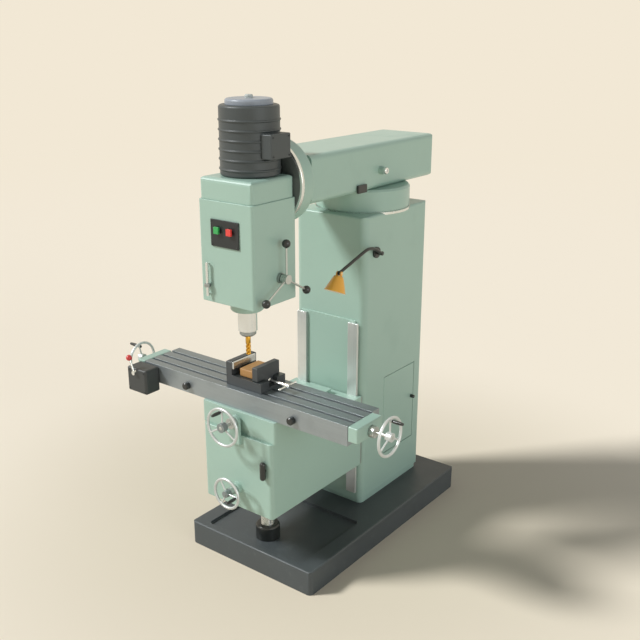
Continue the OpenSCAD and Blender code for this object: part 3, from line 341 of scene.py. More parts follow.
def bent_tube():
    """A round tube along the object's line, with its corners bent to a radius."""
    g = Growth("bent_tube", Radius="Float", Bend="Float")
    line = g.node("GeometryNodeMeshToCurve", None, {"Mesh": g.size("Geometry")})
    values = {"Curve": line, "Count": 14, "Radius": g.size("Bend")}
    line = g.node("GeometryNodeFilletCurve", {"mode": "POLY"}, values)
    values = {"Resolution": 28, "Radius": g.size("Radius")}
    ring = g.node("GeometryNodeCurvePrimitiveCircle", None, values)
    values = {"Curve": line, "Profile Curve": ring, "Fill Caps": True}
    return g.done(g.node("GeometryNodeCurveToMesh", None, values))


# Finishes
def enamel(name, colour, roughness=0.36):
    """Brushed and sprayed enamel on a casting: soft waves, orange peel, and edges lighter, partly as
    rubbed wear and partly as a painted highlight.
    """
    f = Finish(name)
    clouds = f.noise(2.6, 2)
    specks = f.noise(60, 4)
    peel = f.noise(900, 2)
    # Paler edges: partly rubbed wear, partly a painted highlight along every sharp edge, hollow edges
    # too
    rub = f.edges() * f.noise(45, 3).step(0.30, 0.62) * 0.5
    grime = f.noise(7, 5).step(0.52, 0.78)
    tone = f.shade(linear(colour), 0.955 + clouds * 0.06 + specks * 0.03 - grime * 0.035)
    # The pale edge colour is partly a painted highlight
    tone = f.blend(rub, tone, linear("#c9d6cc"))
    waves = f.bump(f.noise(11, 2), 1.2 * mm, 0.16)
    skin = f.bump(peel, 0.05 * mm, 0.5, waves)
    shine = roughness - 0.05 + specks * 0.08 + grime * 0.1
    return f.surface(Base_Color=tone, Roughness=shine, Coat_Weight=0.12, Coat_Roughness=0.2,
                     Normal=skin)


def base_paint(name, colour):
    """Slate floor paint on the base: matt, scuffed and lightly stained."""
    f = Finish(name)
    scuffs = f.noise(26, 6, rough=0.65).step(0.55, 0.72)
    stain = f.noise(3.2, 4).step(0.45, 0.75)
    grain = f.noise(420, 3)
    rub = f.edges(3.5 * mm) * f.noise(30, 4).step(0.35, 0.6) * 0.55
    tone = f.shade(linear(colour), 0.92 + f.noise(9, 3) * 0.16 - stain * 0.08)
    tone = f.blend(scuffs * 0.16, tone, linear("#7c8382"))
    tone = f.blend(rub, tone, linear("#8b9391"))
    skin = f.bump(grain, 0.16 * mm, 0.5, f.bump(f.noise(14, 3), 1.5 * mm, 0.12))
    return f.surface(Base_Color=tone, Roughness=0.52 + scuffs * 0.12 - stain * 0.16, Normal=skin)


def ground_metal(name, colour, along, roughness, metal=0.9, grain=1.0, stain=0.4):
    """Metal with grinding lines along one axis (0 to 2 for X to Z) and a trace of oil."""
    f = Finish(name)
    scale = [700.0 * grain] * 3
    scale[along] = 6.0
    lines = f.noise(1.0, 4, f.stretched(scale), 0.6)
    coarse = f.noise(1.0, 2, f.stretched([v * 0.23 for v in scale]))
    oil = f.noise(14, 4).step(0.5, 0.72) * stain
    rub = f.edges(1.5 * mm) * 0.5
    tone = f.shade(linear(colour), 0.86 + lines * 0.16 + coarse * 0.12 - oil * 0.18)
    tone = f.blend(rub, tone, linear("#e6e8e6"))
    skin = f.bump(lines, 0.03 * mm, 0.6, f.bump(coarse, 0.06 * mm, 0.4))
    shine = roughness - 0.06 + lines * 0.12 - oil * 0.1
    return f.surface(Base_Color=tone, Metallic=metal, Roughness=shine, Normal=skin)


def bright_metal(name, colour, roughness, metal=1.0):
    """Polished or plated metal with faint turning marks and finger smudges."""
    f = Finish(name)
    smudge = f.noise(38, 5).step(0.45, 0.75)
    marks = f.noise(500, 3)
    tone = f.shade(linear(colour), 0.95 + marks * 0.06 - smudge * 0.05)
    skin = f.bump(marks, 0.015 * mm, 0.4)
    shine = roughness + smudge * 0.12 + marks * 0.04
    return f.surface(Base_Color=tone, Metallic=metal, Roughness=shine, Normal=skin)


def moulded(name, colour, roughness, grain, depth, pale, coat=0.0):
    """Plastic, rubber or textured paint with a fine grain and edges rubbed paler."""
    f = Finish(name)
    texture = f.noise(grain, 3)
    cloud = f.noise(12, 3)
    tone = f.shade(linear(colour), 0.9 + cloud * 0.14 + texture * 0.06)
    tone = f.blend(f.edges(1.2 * mm) * cloud.step(0.3, 0.6) * 0.35, tone, linear(pale))
    skin = f.bump(texture, depth * mm, 0.6)
    shine = roughness - 0.05 + cloud * 0.14
    return f.surface(Base_Color=tone, Roughness=shine, Coat_Weight=coat, Coat_Roughness=0.15,
                     Normal=skin)


def timber(name, colour, dark):
    """A planed hardwood block with its grain along Y."""
    f = Finish(name)
    rings = f.node("TexWave", {"wave_type": "BANDS", "bands_direction": "X"},
                   {"Vector": f.stretched((1.0, 0.12, 0.8)), "Scale": 62.0, "Distortion": 7.0,
                    "Detail": 3.0, "Detail Scale": 2.2}, out="Fac")
    fibre = f.noise(1.0, 4, f.stretched((900, 40, 900)), 0.6)
    tone = f.blend(rings * 0.55 + fibre * 0.3, linear(colour), linear(dark))
    skin = f.bump(fibre, 0.08 * mm, 0.5)
    return f.surface(Base_Color=tone, Roughness=0.5 + fibre * 0.15, Normal=skin)


def lamp_paint(name, colour, worn):
    """The lamp shade's enamel, worn paler along its edges."""
    f = Finish(name)
    peel = f.noise(800, 2)
    cloud = f.noise(30, 3)
    tone = f.shade(linear(colour), 0.95 + cloud * 0.08)
    tone = f.blend(f.edges(1.0 * mm) * 0.4, tone, linear(worn))
    skin = f.bump(peel, 0.03 * mm, 0.5)
    return f.surface(Base_Color=tone, Roughness=0.3 + cloud * 0.1, Coat_Weight=0.3,
                     Coat_Roughness=0.12, Normal=skin)


def frosted(name, colour):
    """A frosted lamp bulb."""
    f = Finish(name)
    cloud = f.noise(40, 3)
    tone = f.shade(linear(colour), 0.96 + cloud * 0.05)
    skin = f.bump(f.noise(700, 2), 0.02 * mm, 0.4)
    return f.surface(Base_Color=tone, Roughness=0.3 + cloud * 0.2, Coat_Weight=0.4, Normal=skin)


def rimmed_plate(name, field, rim, height, radius):
    """A painted plate, polished outside a radius about an axis along Y at a height, both in mm."""
    f = Finish(name)
    x, z = f.parts(f.place, "XZ")
    z = z - height * mm
    bright = ((x * x + z * z) ** 0.5).step((radius - 0.3) * mm, (radius + 0.3) * mm)
    grain = f.noise(260, 3)
    marks = f.noise(500, 3)
    paint = f.shade(linear(field), 0.9 + f.noise(12, 3) * 0.14 + grain * 0.06)
    tone = f.blend(bright, paint, f.shade(linear(rim), 0.95 + marks * 0.06))
    skin = f.bump(grain, 0.06 * mm, 0.6 * (1 - bright), f.bump(marks, 0.015 * mm, 0.4))
    return f.surface(Base_Color=tone, Metallic=bright, Roughness=0.48 - bright * 0.24 + marks * 0.05,
                     Normal=skin)


def floor_finish(name, near, middle, far):
    """The studio floor, darkened round the machine as painted shade, and the backdrop's colour in the
    distance.
    """
    f = Finish(name)
    reach = f.node("VectorMath", {"operation": "LENGTH"}, {0: f.place}, out="Value")
    # Painted shade: the near colour darkens the floor round the machine, fading out by 2.4 m
    tone = f.blend(reach.step(0.7, 2.4), linear(near), linear(middle))
    values = {"Base Color": tone, "Roughness": 0.95, "Specular IOR Level": 0.1}
    lit = f.node("BsdfPrincipled", None, values)
    glow = f.node("Emission", None, {"Color": linear(far)})
    both = f.node("MixShader", None, {0: reach.step(5.0, 14.0), 1: lit, 2: glow})
    f.node("OutputMaterial", None, {"Surface": both})
    return f.material


# Enamels and paints of one use: name, colours, and roughness where it differs
GREEN = enamel("green_enamel", "#a0bcae")
# A darker copy of the green enamel: painted shade on the boss of the quill feed's hub
GREEN_HUB_PAINTED_SHADE = enamel("hub_green_enamel", "#6f8578", 0.34)
SLATE = base_paint("slate_floor_paint", "#494f51")
TILT_PLATE = rimmed_plate("tilt_plate_grey", "#59605d", "#dfe3e1", TILT_Z, 170)
WOOD = timber("maple_block", "#bb8f58", "#8f6435")
SHADE = lamp_paint("lamp_orange", "#f4b141", "#f4efe2")
BULB = frosted("frosted_bulb", "#f6f1e4")

# Ground metals: name, colour, axis of the lines, roughness, metallic share, grain, stain
WAY_STEEL = ground_metal("ground_way_steel", "#d9dcda", 2, 0.36, 0.7)
# The table's iron in two copies: the top's darker one is painted shade, the other faces keep the
# lighter one
TABLE_IRON = ground_metal("planed_table_iron", "#9aa2a5", 0, 0.42, 0.65, 0.6)
TABLE_TOP_PAINTED_SHADE = ground_metal("scraped_table_top", "#858d90", 0, 0.42, 0.65, 0.6)
STEEL_X = ground_metal("turned_steel", "#c2c6c4", 0, 0.32, 0.95)
STEEL_Y = ground_metal("turned_crank_steel", "#c2c6c4", 1, 0.32, 0.95)
STEEL_Z = ground_metal("ground_quill_steel", "#dfe1df", 2, 0.24, 0.85, 1.4, 0.2)
DARK_STEEL = ground_metal("dark_spindle_steel", "#9fa4a3", 2, 0.36, 0.9)
BRONZE = ground_metal("nut_bronze", "#b98f4c", 0, 0.38, 0.9)
JAW_STEEL = ground_metal("jaw_plate_steel", "#d3d7d8", 1, 0.26, 0.9)
BED_STEEL = ground_metal("ground_vise_bed", "#5f6566", 0, 0.4, 0.7)

# Polished metals: name, colour, roughness, metallic share
SCALE_METAL = bright_metal("bright_scale_ring", "#dfe3e1", 0.2)
WHEEL_METAL = bright_metal("polished_handwheel", "#d3d8d8", 0.34, 0.6)
HUB_METAL = bright_metal("handwheel_hub", "#8e9696", 0.4, 0.6)
CHROME = bright_metal("chromed_steel", "#e8eaea", 0.12)
GOLD = bright_metal("coated_cutter", "#d9a63f", 0.26, 0.85)

# Plastics and textured paints: name, colour, roughness, grain, its depth in mm, worn colour, coat
MOTOR = moulded("motor_grey", "#43494a", 0.42, 300.0, 0.08, "#8d9493")
MOTOR_CAP = moulded("fan_cover_grey", "#949ba4", 0.34, 300.0, 0.05, "#c6ccd2")
VISE_IRON = moulded("vise_iron", "#3f4345", 0.46, 240.0, 0.12, "#8b9090")
KNOB = moulded("pale_grey_knob", "#b9beb9", 0.34, 400.0, 0.03, "#dfe3df")
OXIDE = moulded("black_oxide_screws", "#2d3131", 0.34, 500.0, 0.02, "#5c6261")
INK = moulded("scale_ink", "#2b2f2f", 0.5, 400.0, 0.02, "#4a4f4f")
BLACK = moulded("black_plastic", "#1f2322", 0.3, 320.0, 0.03, "#5a605e", 0.25)
PANEL = moulded("panel_black", "#25292a", 0.38, 420.0, 0.04, "#6c7270")
FEED_BOX = moulded("feed_box_black", "#3a3d3d", 0.44, 260.0, 0.09, "#7c8281")
GREEN_KEY = moulded("start_green", "#2fa452", 0.3, 500.0, 0.02, "#8fd3a3", 0.3)
RED_KEY = moulded("stop_red", "#df3f39", 0.3, 500.0, 0.02, "#f0a09b", 0.3)
RED_BALL = moulded("red_ball", "#c42f30", 0.24, 500.0, 0.015, "#e08b86", 0.4)
BULB_WHITE = moulded("shade_white_lining", "#f2ead6", 0.32, 500.0, 0.02, "#f8f4ea", 0.2)

# Each node's finish and the width of its softened edges in mm
FINISHES = {
    "base": (SLATE, 1.5), "knee_screw_nut": (BLACK, 1.5), "column": (GREEN, 0.6),
    "column_ways": (WAY_STEEL, 1.2), "column_door": (GREEN, 2.0), "door_knob": (BLACK, 0.8),
    "turret": (GREEN, 1.2), "turret_scale": (SCALE_METAL, 0.8), "ram": (GREEN, 1.2),
    "ram_lock_bolt": (CHROME, 1.2), "ram_stop_block": (BLACK, 1.2), "tilt_flange": (GREEN, 1.2),
    "tilt_scale": (TILT_PLATE, 0), "head_body": (GREEN, 3.0), "head_cap": (GREEN, 1.5),
    "motor_body": (MOTOR, 1.5), "motor_cap": (MOTOR_CAP, 1.5), "motor_box": (MOTOR, 1.5),
    "motor_rotor": (STEEL_Z, 0), "spindle_gear": (DARK_STEEL, 0), "quill_nose": (GREEN, 1.2),
    "quill": (STEEL_Z, 0.8), "quill_bearings": (STEEL_Z, 0), "spindle": (DARK_STEEL, 0.8),
    "feed_pinion": (DARK_STEEL, 0), "feed_handle": (STEEL_X, 0.8),
    "switch_panel": (PANEL, 1.0), "start_button": (GREEN_KEY, 1.2), "stop_button": (RED_KEY, 1.2),
    "depth_stop_rod": (STEEL_Z, 0.6), "depth_stop_nut": (DARK_STEEL, 0.8),
    "lamp_base": (BLACK, 1.0), "lamp_bulb": (BULB, 0), "knee": (GREEN, 1.2),
    "knee_keepers": (DARK_STEEL, 1.0), "knee_screw": (STEEL_Z, 0.6), "knee_crank": (WHEEL_METAL, 0.8),
    "knee_crank_handle": (BLACK, 0.5), "knee_lock_handle": (BLACK, 0), "saddle": (GREEN, 1.5),
    "cross_nut": (BRONZE, 0),
    "cross_screw": (STEEL_X, 0.8), "cross_wheel": (WHEEL_METAL, 0.8), "cross_handle": (BLACK, 0.5),
    "table": (TABLE_IRON, 0.8), "table_brackets": (GREEN, 2.0), "table_screw": (STEEL_X, 0.8),
    "table_wheels": (WHEEL_METAL, 0.8), "table_handle_right": (BLACK, 0.5),
    "table_handle_left": (BLACK, 0.5), "feed_box": (FEED_BOX, 3.0), "feed_lever": (CHROME, 0),
    "table_stops": (BLACK, 1.2), "vise_body": (VISE_IRON, 1.2), "vise_moving_jaw": (VISE_IRON, 1.2),
    "vise_screw": (CHROME, 0.6), "workpiece": (WOOD, 1.5),
}


# Pieces
def body_of(node):
    return frame["nodes"][node]["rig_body"]


def slot_of(node):
    for row in frame["record"]["subparts"]:
        if row["node"] == node:
            return row["material_slot"]


def metres(size):
    """A length or a place in mm, as Blender wants it."""
    return [part * mm for part in size] if isinstance(size, (tuple, list)) else size * mm


def smooth_by_angle(mesh):
    """Marks the edges that stay crisp and shades the rest smooth."""
    work = bmesh.new()
    work.from_mesh(mesh)
    for edge in work.edges:
        edge.smooth = len(edge.link_faces) == 2 and edge.calc_face_angle(0) < CRISP
    for face in work.faces:
        face.smooth = True
    work.to_mesh(mesh)
    work.free()


def applied(thing):
    """Turns an object's modifiers into a plain mesh and removes them."""
    graph = bpy.context.evaluated_depsgraph_get()
    graph.update()
    mesh = bpy.data.meshes.new_from_object(thing.evaluated_get(graph))
    thing.modifiers.clear()
    thing.data = mesh
    return thing


def spikes_pulled_in(mesh, first, limit):
    """Puts points that a bevel threw further than a limit from the first shape back on it."""
    for vertex in mesh.vertices:
        near, _, _, gap = first.find_nearest(vertex.co)
        if gap > limit:
            vertex.co = near


def filled_again(mesh):
    """Fills anew, from its outline, every flat region in which a long face folds over itself."""
    work = bmesh.new()
    work.from_mesh(mesh)
    bmesh.ops.remove_doubles(work, verts=work.verts, dist=0.005 * mm)
    bmesh.ops.dissolve_degenerate(work, edges=work.edges, dist=0.005 * mm)
    folded, seen, regions, dropped = {}, {}, [], []
    for corners in work.calc_loop_triangles():
        a, b, c = (corner.vert.co for corner in corners)
        if (b - a).cross(c - a).dot(corners[0].face.normal) < -0.01 * mm * mm:
            folded[corners[0].face] = True
    for seed in folded:
        if seed in seen:
            continue
        seen[seed] = True
        region = [seed]
        for face in region:
            for other in (near for edge in face.edges for near in edge.link_faces):
                if other not in seen and other.normal.dot(seed.normal) > 1 - 1e-5:
                    seen[other] = True
                    region.append(other)
        normal = sum((face.normal * face.calc_area() for face in region), Vector()).normalized()
        inside, outline = set(region), []
        for edge in dict.fromkeys(edge for face in region for edge in face.edges):
            shared = sum(face in inside for face in edge.link_faces) > 1
            (dropped if shared else outline).append(edge)
        regions.append((normal, outline))
    bmesh.ops.delete(work, geom=list(seen), context="FACES_ONLY")
    bmesh.ops.delete(work, geom=dropped, context="EDGES")
    for normal, outline in regions:
        made = bmesh.ops.triangle_fill(work, use_beauty=True, edges=outline, normal=normal)
        for face in made["geom"]:
            if isinstance(face, bmesh.types.BMFace):
                face.normal_update()
                if face.normal.dot(normal) < 0:
                    face.normal_flip()
    gaps = [edge for edge in work.edges if edge.is_boundary]
    for face in bmesh.ops.holes_fill(work, edges=gaps, sides=0)["faces"]:
        corner = face.loops[0]
        if corner.link_loop_radial_next.vert == corner.vert:
            face.normal_flip()
    work.to_mesh(mesh)
    work.free()
    smooth_by_angle(mesh)


def new_piece(name, mesh, node, instead=False):
    """An object that rides on a node's body, and may stand for the node."""
    piece = bpy.data.objects.new(name, mesh)
    bpy.context.scene.collection.objects.link(piece)
    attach(piece, body_of(node))
    if instead:
        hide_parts(node)
    slot_of(node)
    return piece


def merged_copy(node, reshape):
    """A node's mesh with its loose triangles joined and flat faces made whole."""
    mesh = bpy.data.meshes.new(node + "_shape")
    work = bmesh.new()
    work.from_mesh(frame["nodes"][node].data)
    bmesh.ops.remove_doubles(work, verts=work.verts, dist=0.002 * mm)
    bmesh.ops.dissolve_limit(work, angle_limit=math.radians(0.4), verts=work.verts, edges=work.edges)
    if reshape:
        reshape(work)
    work.to_mesh(mesh)
    work.free()
    mesh.materials.clear()
    return mesh


def softened(node, finish, width, reshape):
    """A copy of a node's mesh with its sharp edges rounded over by a small width."""
    mesh = merged_copy(node, reshape)
    mesh.materials.append(finish)
    piece = new_piece(node + "_finished", mesh, node, instead=True)
    smooth_by_angle(mesh)
    if width:
        corners = [vertex.co.copy() for vertex in mesh.vertices]
        first = BVHTree.FromPolygons(corners, [tuple(face.vertices) for face in mesh.polygons])
        bevel = piece.modifiers.new("edges", "BEVEL")
        bevel.width, bevel.segments = width * mm, 3
        bevel.limit_method, bevel.angle_limit = "ANGLE", CRISP
        bevel.use_clamp_overlap = False
        applied(piece)
        spikes_pulled_in(piece.data, first, 0.8 * width * mm)
    filled_again(piece.data)
    if width:
        piece.modifiers.new("even_normals", "WEIGHTED_NORMAL").keep_sharp = True
        applied(piece)
    return piece


def painted(piece, finish, test):
    """Gives a second finish to the faces whose centre in mm and normal pass a test."""
    piece.data.materials.append(finish)
    last = len(piece.data.materials) - 1
    for face in piece.data.polygons:
        if test(face.center / mm, face.normal):
            face.material_index = last


def off_axis(point, axis, *centre):
    """Distance in mm from an axis along X, Y or Z (0 to 2) through two other coordinates."""
    return math.dist([c for i, c in enumerate(point) if i != axis], centre)


# The named sizes that are lengths
LENGTHS = ("radius", "depth", "pitch", "length", "reach", "width", "height", "lead", "bend",
           "centre")


def grown(name, tree, finish, node, points=(), edges=(), instead=False, **sizes):
    """The plain mesh that a Geometry Nodes tree makes from named sizes, its lengths in mm."""
    seed = bpy.data.meshes.new(name + "_points")
    seed.from_pydata([metres(point) for point in points], edges, [])
    grower = bpy.data.objects.new(name + "_grower", seed)
    bpy.context.scene.collection.objects.link(grower)
    growth = grower.modifiers.new("growth", "NODES")
    growth.node_group = tree
    sizes["finish"] = finish
    for item in tree.interface.items_tree:
        size = item.name.lower()
        if item.in_out == "INPUT" and size in sizes:
            value = sizes[size]
            growth[item.identifier] = metres(value) if size in LENGTHS else value
    mesh = applied(grower).data
    bpy.data.objects.remove(grower)
    smooth_by_angle(mesh)
    return new_piece(name, mesh, node, instead)


def finished_mesh(name, work, finish, place=None):
    """A mesh from bmesh work, faces outwards, with its finish, moved to its place."""
    bmesh.ops.recalc_face_normals(work, faces=work.faces)
    mesh = bpy.data.meshes.new(name)
    work.to_mesh(mesh)
    work.free()
    if place:
        mesh.transform(place)
    mesh.materials.append(finish)
    smooth_by_angle(mesh)
    return mesh


def turned(name, profile, finish, node, centre=(0, 0, 0), axis=2, sides=40, place=None,
           instead=False):
    """A lathe-turned piece: radius and height pairs in mm, spun about an axis through its centre."""
    work = bmesh.new()
    rings = []
    for radius, height in profile:
        ring = []
        for k in range(sides):
            angle = FULL * k / sides
            spot = [radius * math.cos(angle), radius * math.sin(angle), height]
            spot = spot[2 - axis:] + spot[:2 - axis]
            ring.append(work.verts.new([(c + s) * mm for c, s in zip(centre, spot)]))
        rings.append(ring)
    for low, high in zip(rings, rings[1:]):
        for k in range(sides):
            n = (k + 1) % sides
            work.faces.new((low[k], low[n], high[n], high[k]))
    work.faces.new(rings[0][::-1])
    work.faces.new(rings[-1])
    return new_piece(name, finished_mesh(name, work, finish, place), node, instead)


def lug_pair(name, outline, apart, thickness, finish, node, place):
    """Two flat lugs of one outline (Y and Z in mm), each a distance along X from the middle."""
    work = bmesh.new()
    for side in (-1, 1):
        middle = side * apart
        near, far = ([work.verts.new((x * mm, y * mm, z * mm)) for y, z in outline]
                     for x in (middle - thickness / 2, middle + thickness / 2))
        for k in range(len(outline)):
            n = (k + 1) % len(outline)
            work.faces.new((near[k], near[n], far[n], far[k]))
        work.faces.new(near[::-1])
        work.faces.new(far)
    rims = [edge for edge in work.edges if edge.verts[0].co[0] == edge.verts[1].co[0]]
    bmesh.ops.bevel(work, geom=rims, offset=0.6 * mm, segments=2, profile=0.5, affect="EDGES")
    return new_piece(name, finished_mesh(name, work, finish, place), node)


def rectangle(first, second, axis, plane):
    """The corners of a rectangle that stands across an axis (0 for X, 1 for Y)."""
    return [(*(a, b)[:axis], plane, *(a, b)[axis:]) for a in first for b in second]


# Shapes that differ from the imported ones
def shrink_thread_core(radius, root, x, y, low, high):
    """Narrows a screw's plain length about an upright axis, so that a thread can lie round it."""
    def reshape(work):
        for vertex in work.verts:
            spot = vertex.co / mm
            reach = math.hypot(spot[0] - x, spot[1] - y)
            if abs(reach - radius) < 0.2 and low - 1 < spot[2] < high + 1:
                vertex.co[0] = (x + (spot[0] - x) * root / radius) * mm
                vertex.co[1] = (y + (spot[1] - y) * root / radius) * mm
    return reshape


def rounder_corners(half, front, back, old, new):
    """Opens out a box's upright rounded corners, given in mm, from one radius to another."""
    def reshape(work):
        for vertex in work.verts:
            spot = vertex.co / mm
            x = math.copysign(half, spot[0])
            y = front if abs(spot[1] - front) < abs(spot[1] - back) else back
            inward = math.copysign(1, (front + back) / 2 - y)
            near = Vector((x - math.copysign(old, x), y + inward * old))
            reach = Vector(spot[:2]) - near
            if abs(reach.length - old) < 0.15 and reach[0] * x > -0.1 and reach[1] * inward < 0.1:
                wide = Vector((x - math.copysign(new, x), y + inward * new)) + reach * new / old
                vertex.co[0], vertex.co[1] = wide * mm
    return reshape


def rounded_rim(work):
    """Rounds the two outer edges of the tilting plate."""
    rim = []
    for edge in work.edges:
        first, second = (vertex.co / mm for vertex in edge.verts)
        gaps = [abs(off_axis(spot, 1, 0, TILT_Z) - TILT_RADIUS) for spot in (first, second)]
        if max(gaps) < 0.6 and abs(first[1] - second[1]) < 0.1 and edge.calc_face_angle(0) > 1:
            rim.append(edge)
    bmesh.ops.bevel(work, geom=rim, offset=4 * mm, segments=4, profile=0.5, affect="EDGES",
                    clamp_overlap=False)


RESHAPES = {
    "knee_screw": shrink_thread_core(radius=31.5, root=28.9, x=0, y=KNEE_SCREW_Y, low=96, high=389),
    "tilt_scale": rounded_rim,
    "head_body": rounder_corners(half=147, front=-709.1, back=-439.1, old=5, new=13),
}


def inside_shade(spot, normal):
    """True for the faces of the lamp shade that look at its axis, below its crown."""
    axis = Vector((0, math.sin(SHADE_LEAN), math.cos(SHADE_LEAN)))
    reach = spot - Vector(SHADE_PIN)
    along = reach.dot(axis)
    across = reach - along * axis
    return along < -21 and across.dot(normal) < -0.3 * across.length


# Floor and sky
def build_floor():
    """A wide plain floor that meets the sky's colour at its edge."""
    bpy.ops.mesh.primitive_circle_add(vertices=96, radius=600, fill_type="NGON", location=(0, 0, 0))
    floor = bpy.context.object
    floor.name = "floor"
    # The first colour is the floor's painted shade round the machine
    floor.data.materials.append(floor_finish("studio_floor", "#e4d8c2", "#faeeda", BACKDROP))


def build_sky():
    """Soft light from all round. The camera, glossy metal and glass see the pale backdrop."""
    world = bpy.data.worlds.new("sky")
    bpy.context.scene.world = world
    world.use_nodes = True
    sky = Graph(world.node_tree)
    sky.tree.nodes.clear()
    camera, glossy, glass = (sky.node("LightPath", out="Is %s Ray" % kind)
                             for kind in ("Camera", "Glossy", "Transmission"))
    seen = sky.node("Math", {"operation": "ADD", "use_clamp": True}, {0: camera, 1: glossy + glass})
    fill = sky.node("Background", None, {"Color": linear("#eff3f6"), "Strength": 0.27})
    backdrop = sky.node("Background", None, {"Color": linear(BACKDROP), "Strength": 1.0})
    both = sky.node("MixShader", None, {0: seen, 1: fill, 2: backdrop})
    sky.node("OutputWorld", None, {"Surface": both})


# Faces with a finish of their own: node, finish, and a test of the centre in mm and the normal
PATCHES = [
    # The balls and the green part of the quill feed's hub, darker green there as painted shade, the
    # lever's ball, the knob on the motor
    ("feed_handle", BLACK, lambda c, n: off_axis(c, 0, FEED_Y, FEED_Z) > 128),
    ("feed_handle", GREEN_HUB_PAINTED_SHADE, lambda c, n: c[0] < 172 and off_axis(c, 0, FEED_Y, FEED_Z) < 24),
    ("feed_lever", RED_BALL, lambda c, n: c[2] > 936),
    ("motor_cap", KNOB, lambda c, n: off_axis(c, 2, 0, MOTOR_Y) < 17.6 and c[2] > 2122),
    # The fixed jaw's plate, the top of the table darkened as painted shade, the ground bed of the
    # vise
    ("vise_body", JAW_STEEL,
     lambda c, n: -71.2 < c[0] < -60.8 and -622 < c[1] < -476 and c[2] > 975),
    ("table", TABLE_TOP_PAINTED_SHADE, lambda c, n: n[2] > 0.9 and c[2] > 870),
    ("vise_body", BED_STEEL, lambda c, n: n[2] > 0.9 and 940 < c[2] < 950),
    # The crank's shaft and dial, the hubs of the two front wheels
    ("knee_crank", STEEL_Y, lambda c, n: c[1] > -744),
    ("cross_wheel", HUB_METAL, lambda c, n: off_axis(c, 1, 0, CROSS_Z) < 22 and c[1] < -743),
    ("knee_crank", HUB_METAL, lambda c, n: off_axis(c, 1, 0, CRANK_Z) < 22 and c[1] < -743),
]

place_camera()
pieces = {}
for node, (finish, width) in FINISHES.items():
    pieces[node] = softened(node, finish, width, RESHAPES.get(node))
for node, finish, test in PATCHES:
    painted(pieces[node], finish, test)

# The knee screw's thread and the cutter
ring_bars = bars_round_a_ring()
grown("knee_screw_thread", screw_thread(), STEEL_Z, "knee_screw", radius=31.5, depth=2.5, pitch=6,
      length=292, around=48, centre=(0, KNEE_SCREW_Y, 242.5))
grown("cutter_flutes", helical_flutes(), GOLD, "end_mill", instead=True, radius=11, depth=4.2,
      lead=70, length=56, flutes=4, centre=(0, SPINDLE_Y, 1080))
shank = [(10.6, 1107), (11, 1107.6), (11, 1134.5), (10, 1136), (8, 1136.2), (8, 1178)]
turned("cutter_shank", shank, GOLD, "end_mill", (0, SPINDLE_Y, 0))

# The lamp's arm: a bent tube between a turned barrel and a turned knuckle
route = [ARM_PIN, (235, -14, 1451), (222, -229, 1375)]
grown("lamp_arm_tube", bent_tube(), BLACK, "lamp_arm", route, [(0, 1), (1, 2)], instead=True,
      radius=7.3, bend=108)
barrel = [(8.4, -7.5), (10, -6), (10, -1.5), (9.4, -1), (9.4, 1), (10, 1.5), (10, 6.5), (8.4, 8)]
turned("lamp_arm_barrel", barrel, BLACK, "lamp_arm", ARM_PIN, 0)
knuckle = [(7.6, -7), (9, -5.6), (9, 5.6), (7.6, 7)]
turned("lamp_arm_knuckle", knuckle, BLACK, "lamp_arm", SHADE_PIN, 0)

# The lamp's shade: a spun bell, white inside, on a pin between two lugs
lean = Matrix.Translation(metres(SHADE_PIN)) @ Matrix.Rotation(-SHADE_LEAN, 4, "X")
bell = [(6, -11), (12, -11.5), (17, -13), (21, -16), (23.5, -20), (25.5, -25), (48, -83),
        (47.7, -84), (46.6, -84.3), (46, -83.6), (23.6, -25.6), (21.5, -22.4), (17, -20.5)]
shade = turned("lamp_shade_bell", bell, SHADE, "lamp_shade", sides=72, place=lean, instead=True)
painted(shade, BULB_WHITE, inside_shade)
ear = [(8 * math.cos(math.radians(a)), 8 * math.sin(math.radians(a))) for a in range(200, -21, -11)]
lug_pair("lamp_shade_lugs", ear + [(7, -14), (-7, -14)], 10.3, 5, SHADE, "lamp_shade", lean)
turned("lamp_shade_pin", [(2.4, -13.6), (3, -13), (3, 13), (2.4, 13.6)], CHROME, "lamp_shade",
       axis=0, sides=20, place=lean)

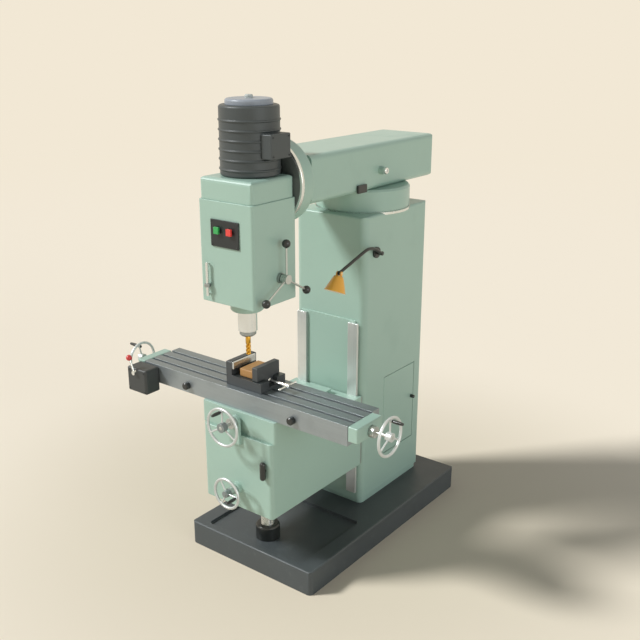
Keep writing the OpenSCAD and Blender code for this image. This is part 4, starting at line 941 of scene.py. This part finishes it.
# Scales: name, node, count, radius, bar (reach, length, width), every, longer, sweep, centre, turn
DIAL, TICK = (0.5, 5, 0.7), (0.5, 4, 0.6)
SCALES = [
    ("cross_dial_marks", "cross_screw", 50, 25, DIAL, 5, 1.7, FULL,
     (0, -699.8, CROSS_Z), (QUARTER, 0, 0)),
    ("right_dial_marks", "table_screw", 50, 24, DIAL, 5, 1.7, FULL,
     (624.8, -563, 859), (0, QUARTER, 0)),
    ("left_dial_marks", "table_screw", 50, 24, DIAL, 5, 1.7, FULL,
     (-649.8, -563, 859), (0, -QUARTER, 0)),
    ("crank_dial_marks", "knee_crank", 40, 19, TICK, 5, 1.7, FULL,
     (0, -705.6, CRANK_Z), (QUARTER, 0, 0)),
    ("turret_marks", "turret", 360, 225, (0.4, 4.5, 0.6), 10, 1.8, FULL,
     (0, 251, 1576.2), (0, 0, 0)),
    ("tilt_marks", "tilt_scale", 60, TILT_RADIUS, (0.4, 3, 0.35), 5, 1.6, math.radians(300),
     (0, -421.8, TILT_Z), (QUARTER, math.radians(-120), 0)),
]
for name, node, count, radius, (reach, length, width), every, longer, sweep, centre, turn in SCALES:
    grown(name, ring_bars, INK, node, count=count, radius=radius, reach=reach, length=length,
          width=width, every=every, longer=longer, sweep=sweep, centre=centre, turn=turn)
grown("lock_knurl", ring_bars, CHROME, "ram_lock_bolt", count=44, radius=15, reach=0.9, length=6,
      width=1.1, every=44, longer=1.0, sweep=FULL, centre=(184.3, 165, 1763.1), turn=(0, QUARTER, 0))

# Small cap screws: name, node, head radius and height, where they face, and their places
RIGHT, FORWARD = (1, 0, 0), (0, -1, 0)
lamp_ring = [(213.9, ARM_PIN[1] + 18 * math.cos(a), ARM_PIN[2] + 18 * math.sin(a))
             for a in (1.571, 3.665, 5.76)]
SCREWS = [
    ("box_screws", "motor_box", 3.6, 2.6, RIGHT, rectangle((-597, -501), (1909, 1983), 0, 166)),
    ("feed_box_screws", "feed_box", 3.6, 2.6, FORWARD,
     rectangle((-614, -514), (789, 881), 1, -745)),
    ("panel_screws", "switch_panel", 2.8, 2.0, FORWARD,
     rectangle((-68, 68), (1553, 1648), 1, -715.7)),
    ("lamp_base_screws", "lamp_base", 2.8, 2.2, RIGHT, lamp_ring),
]
screws = socket_screws()
for name, node, radius, height, facing, places in SCREWS:
    grown(name, screws, OXIDE, node, places, facing=facing, radius=radius, height=height)

# Light, floor and sky
sun("key_light", 3.1, 11, -45.7, 42.3, (0.97, 0.985, 1.0))
sun("side_light", 1.1, 40, 82, 8, (0.88, 0.95, 1.0))
build_floor()
build_sky()
bpy.context.scene.view_settings.view_transform = "Standard"
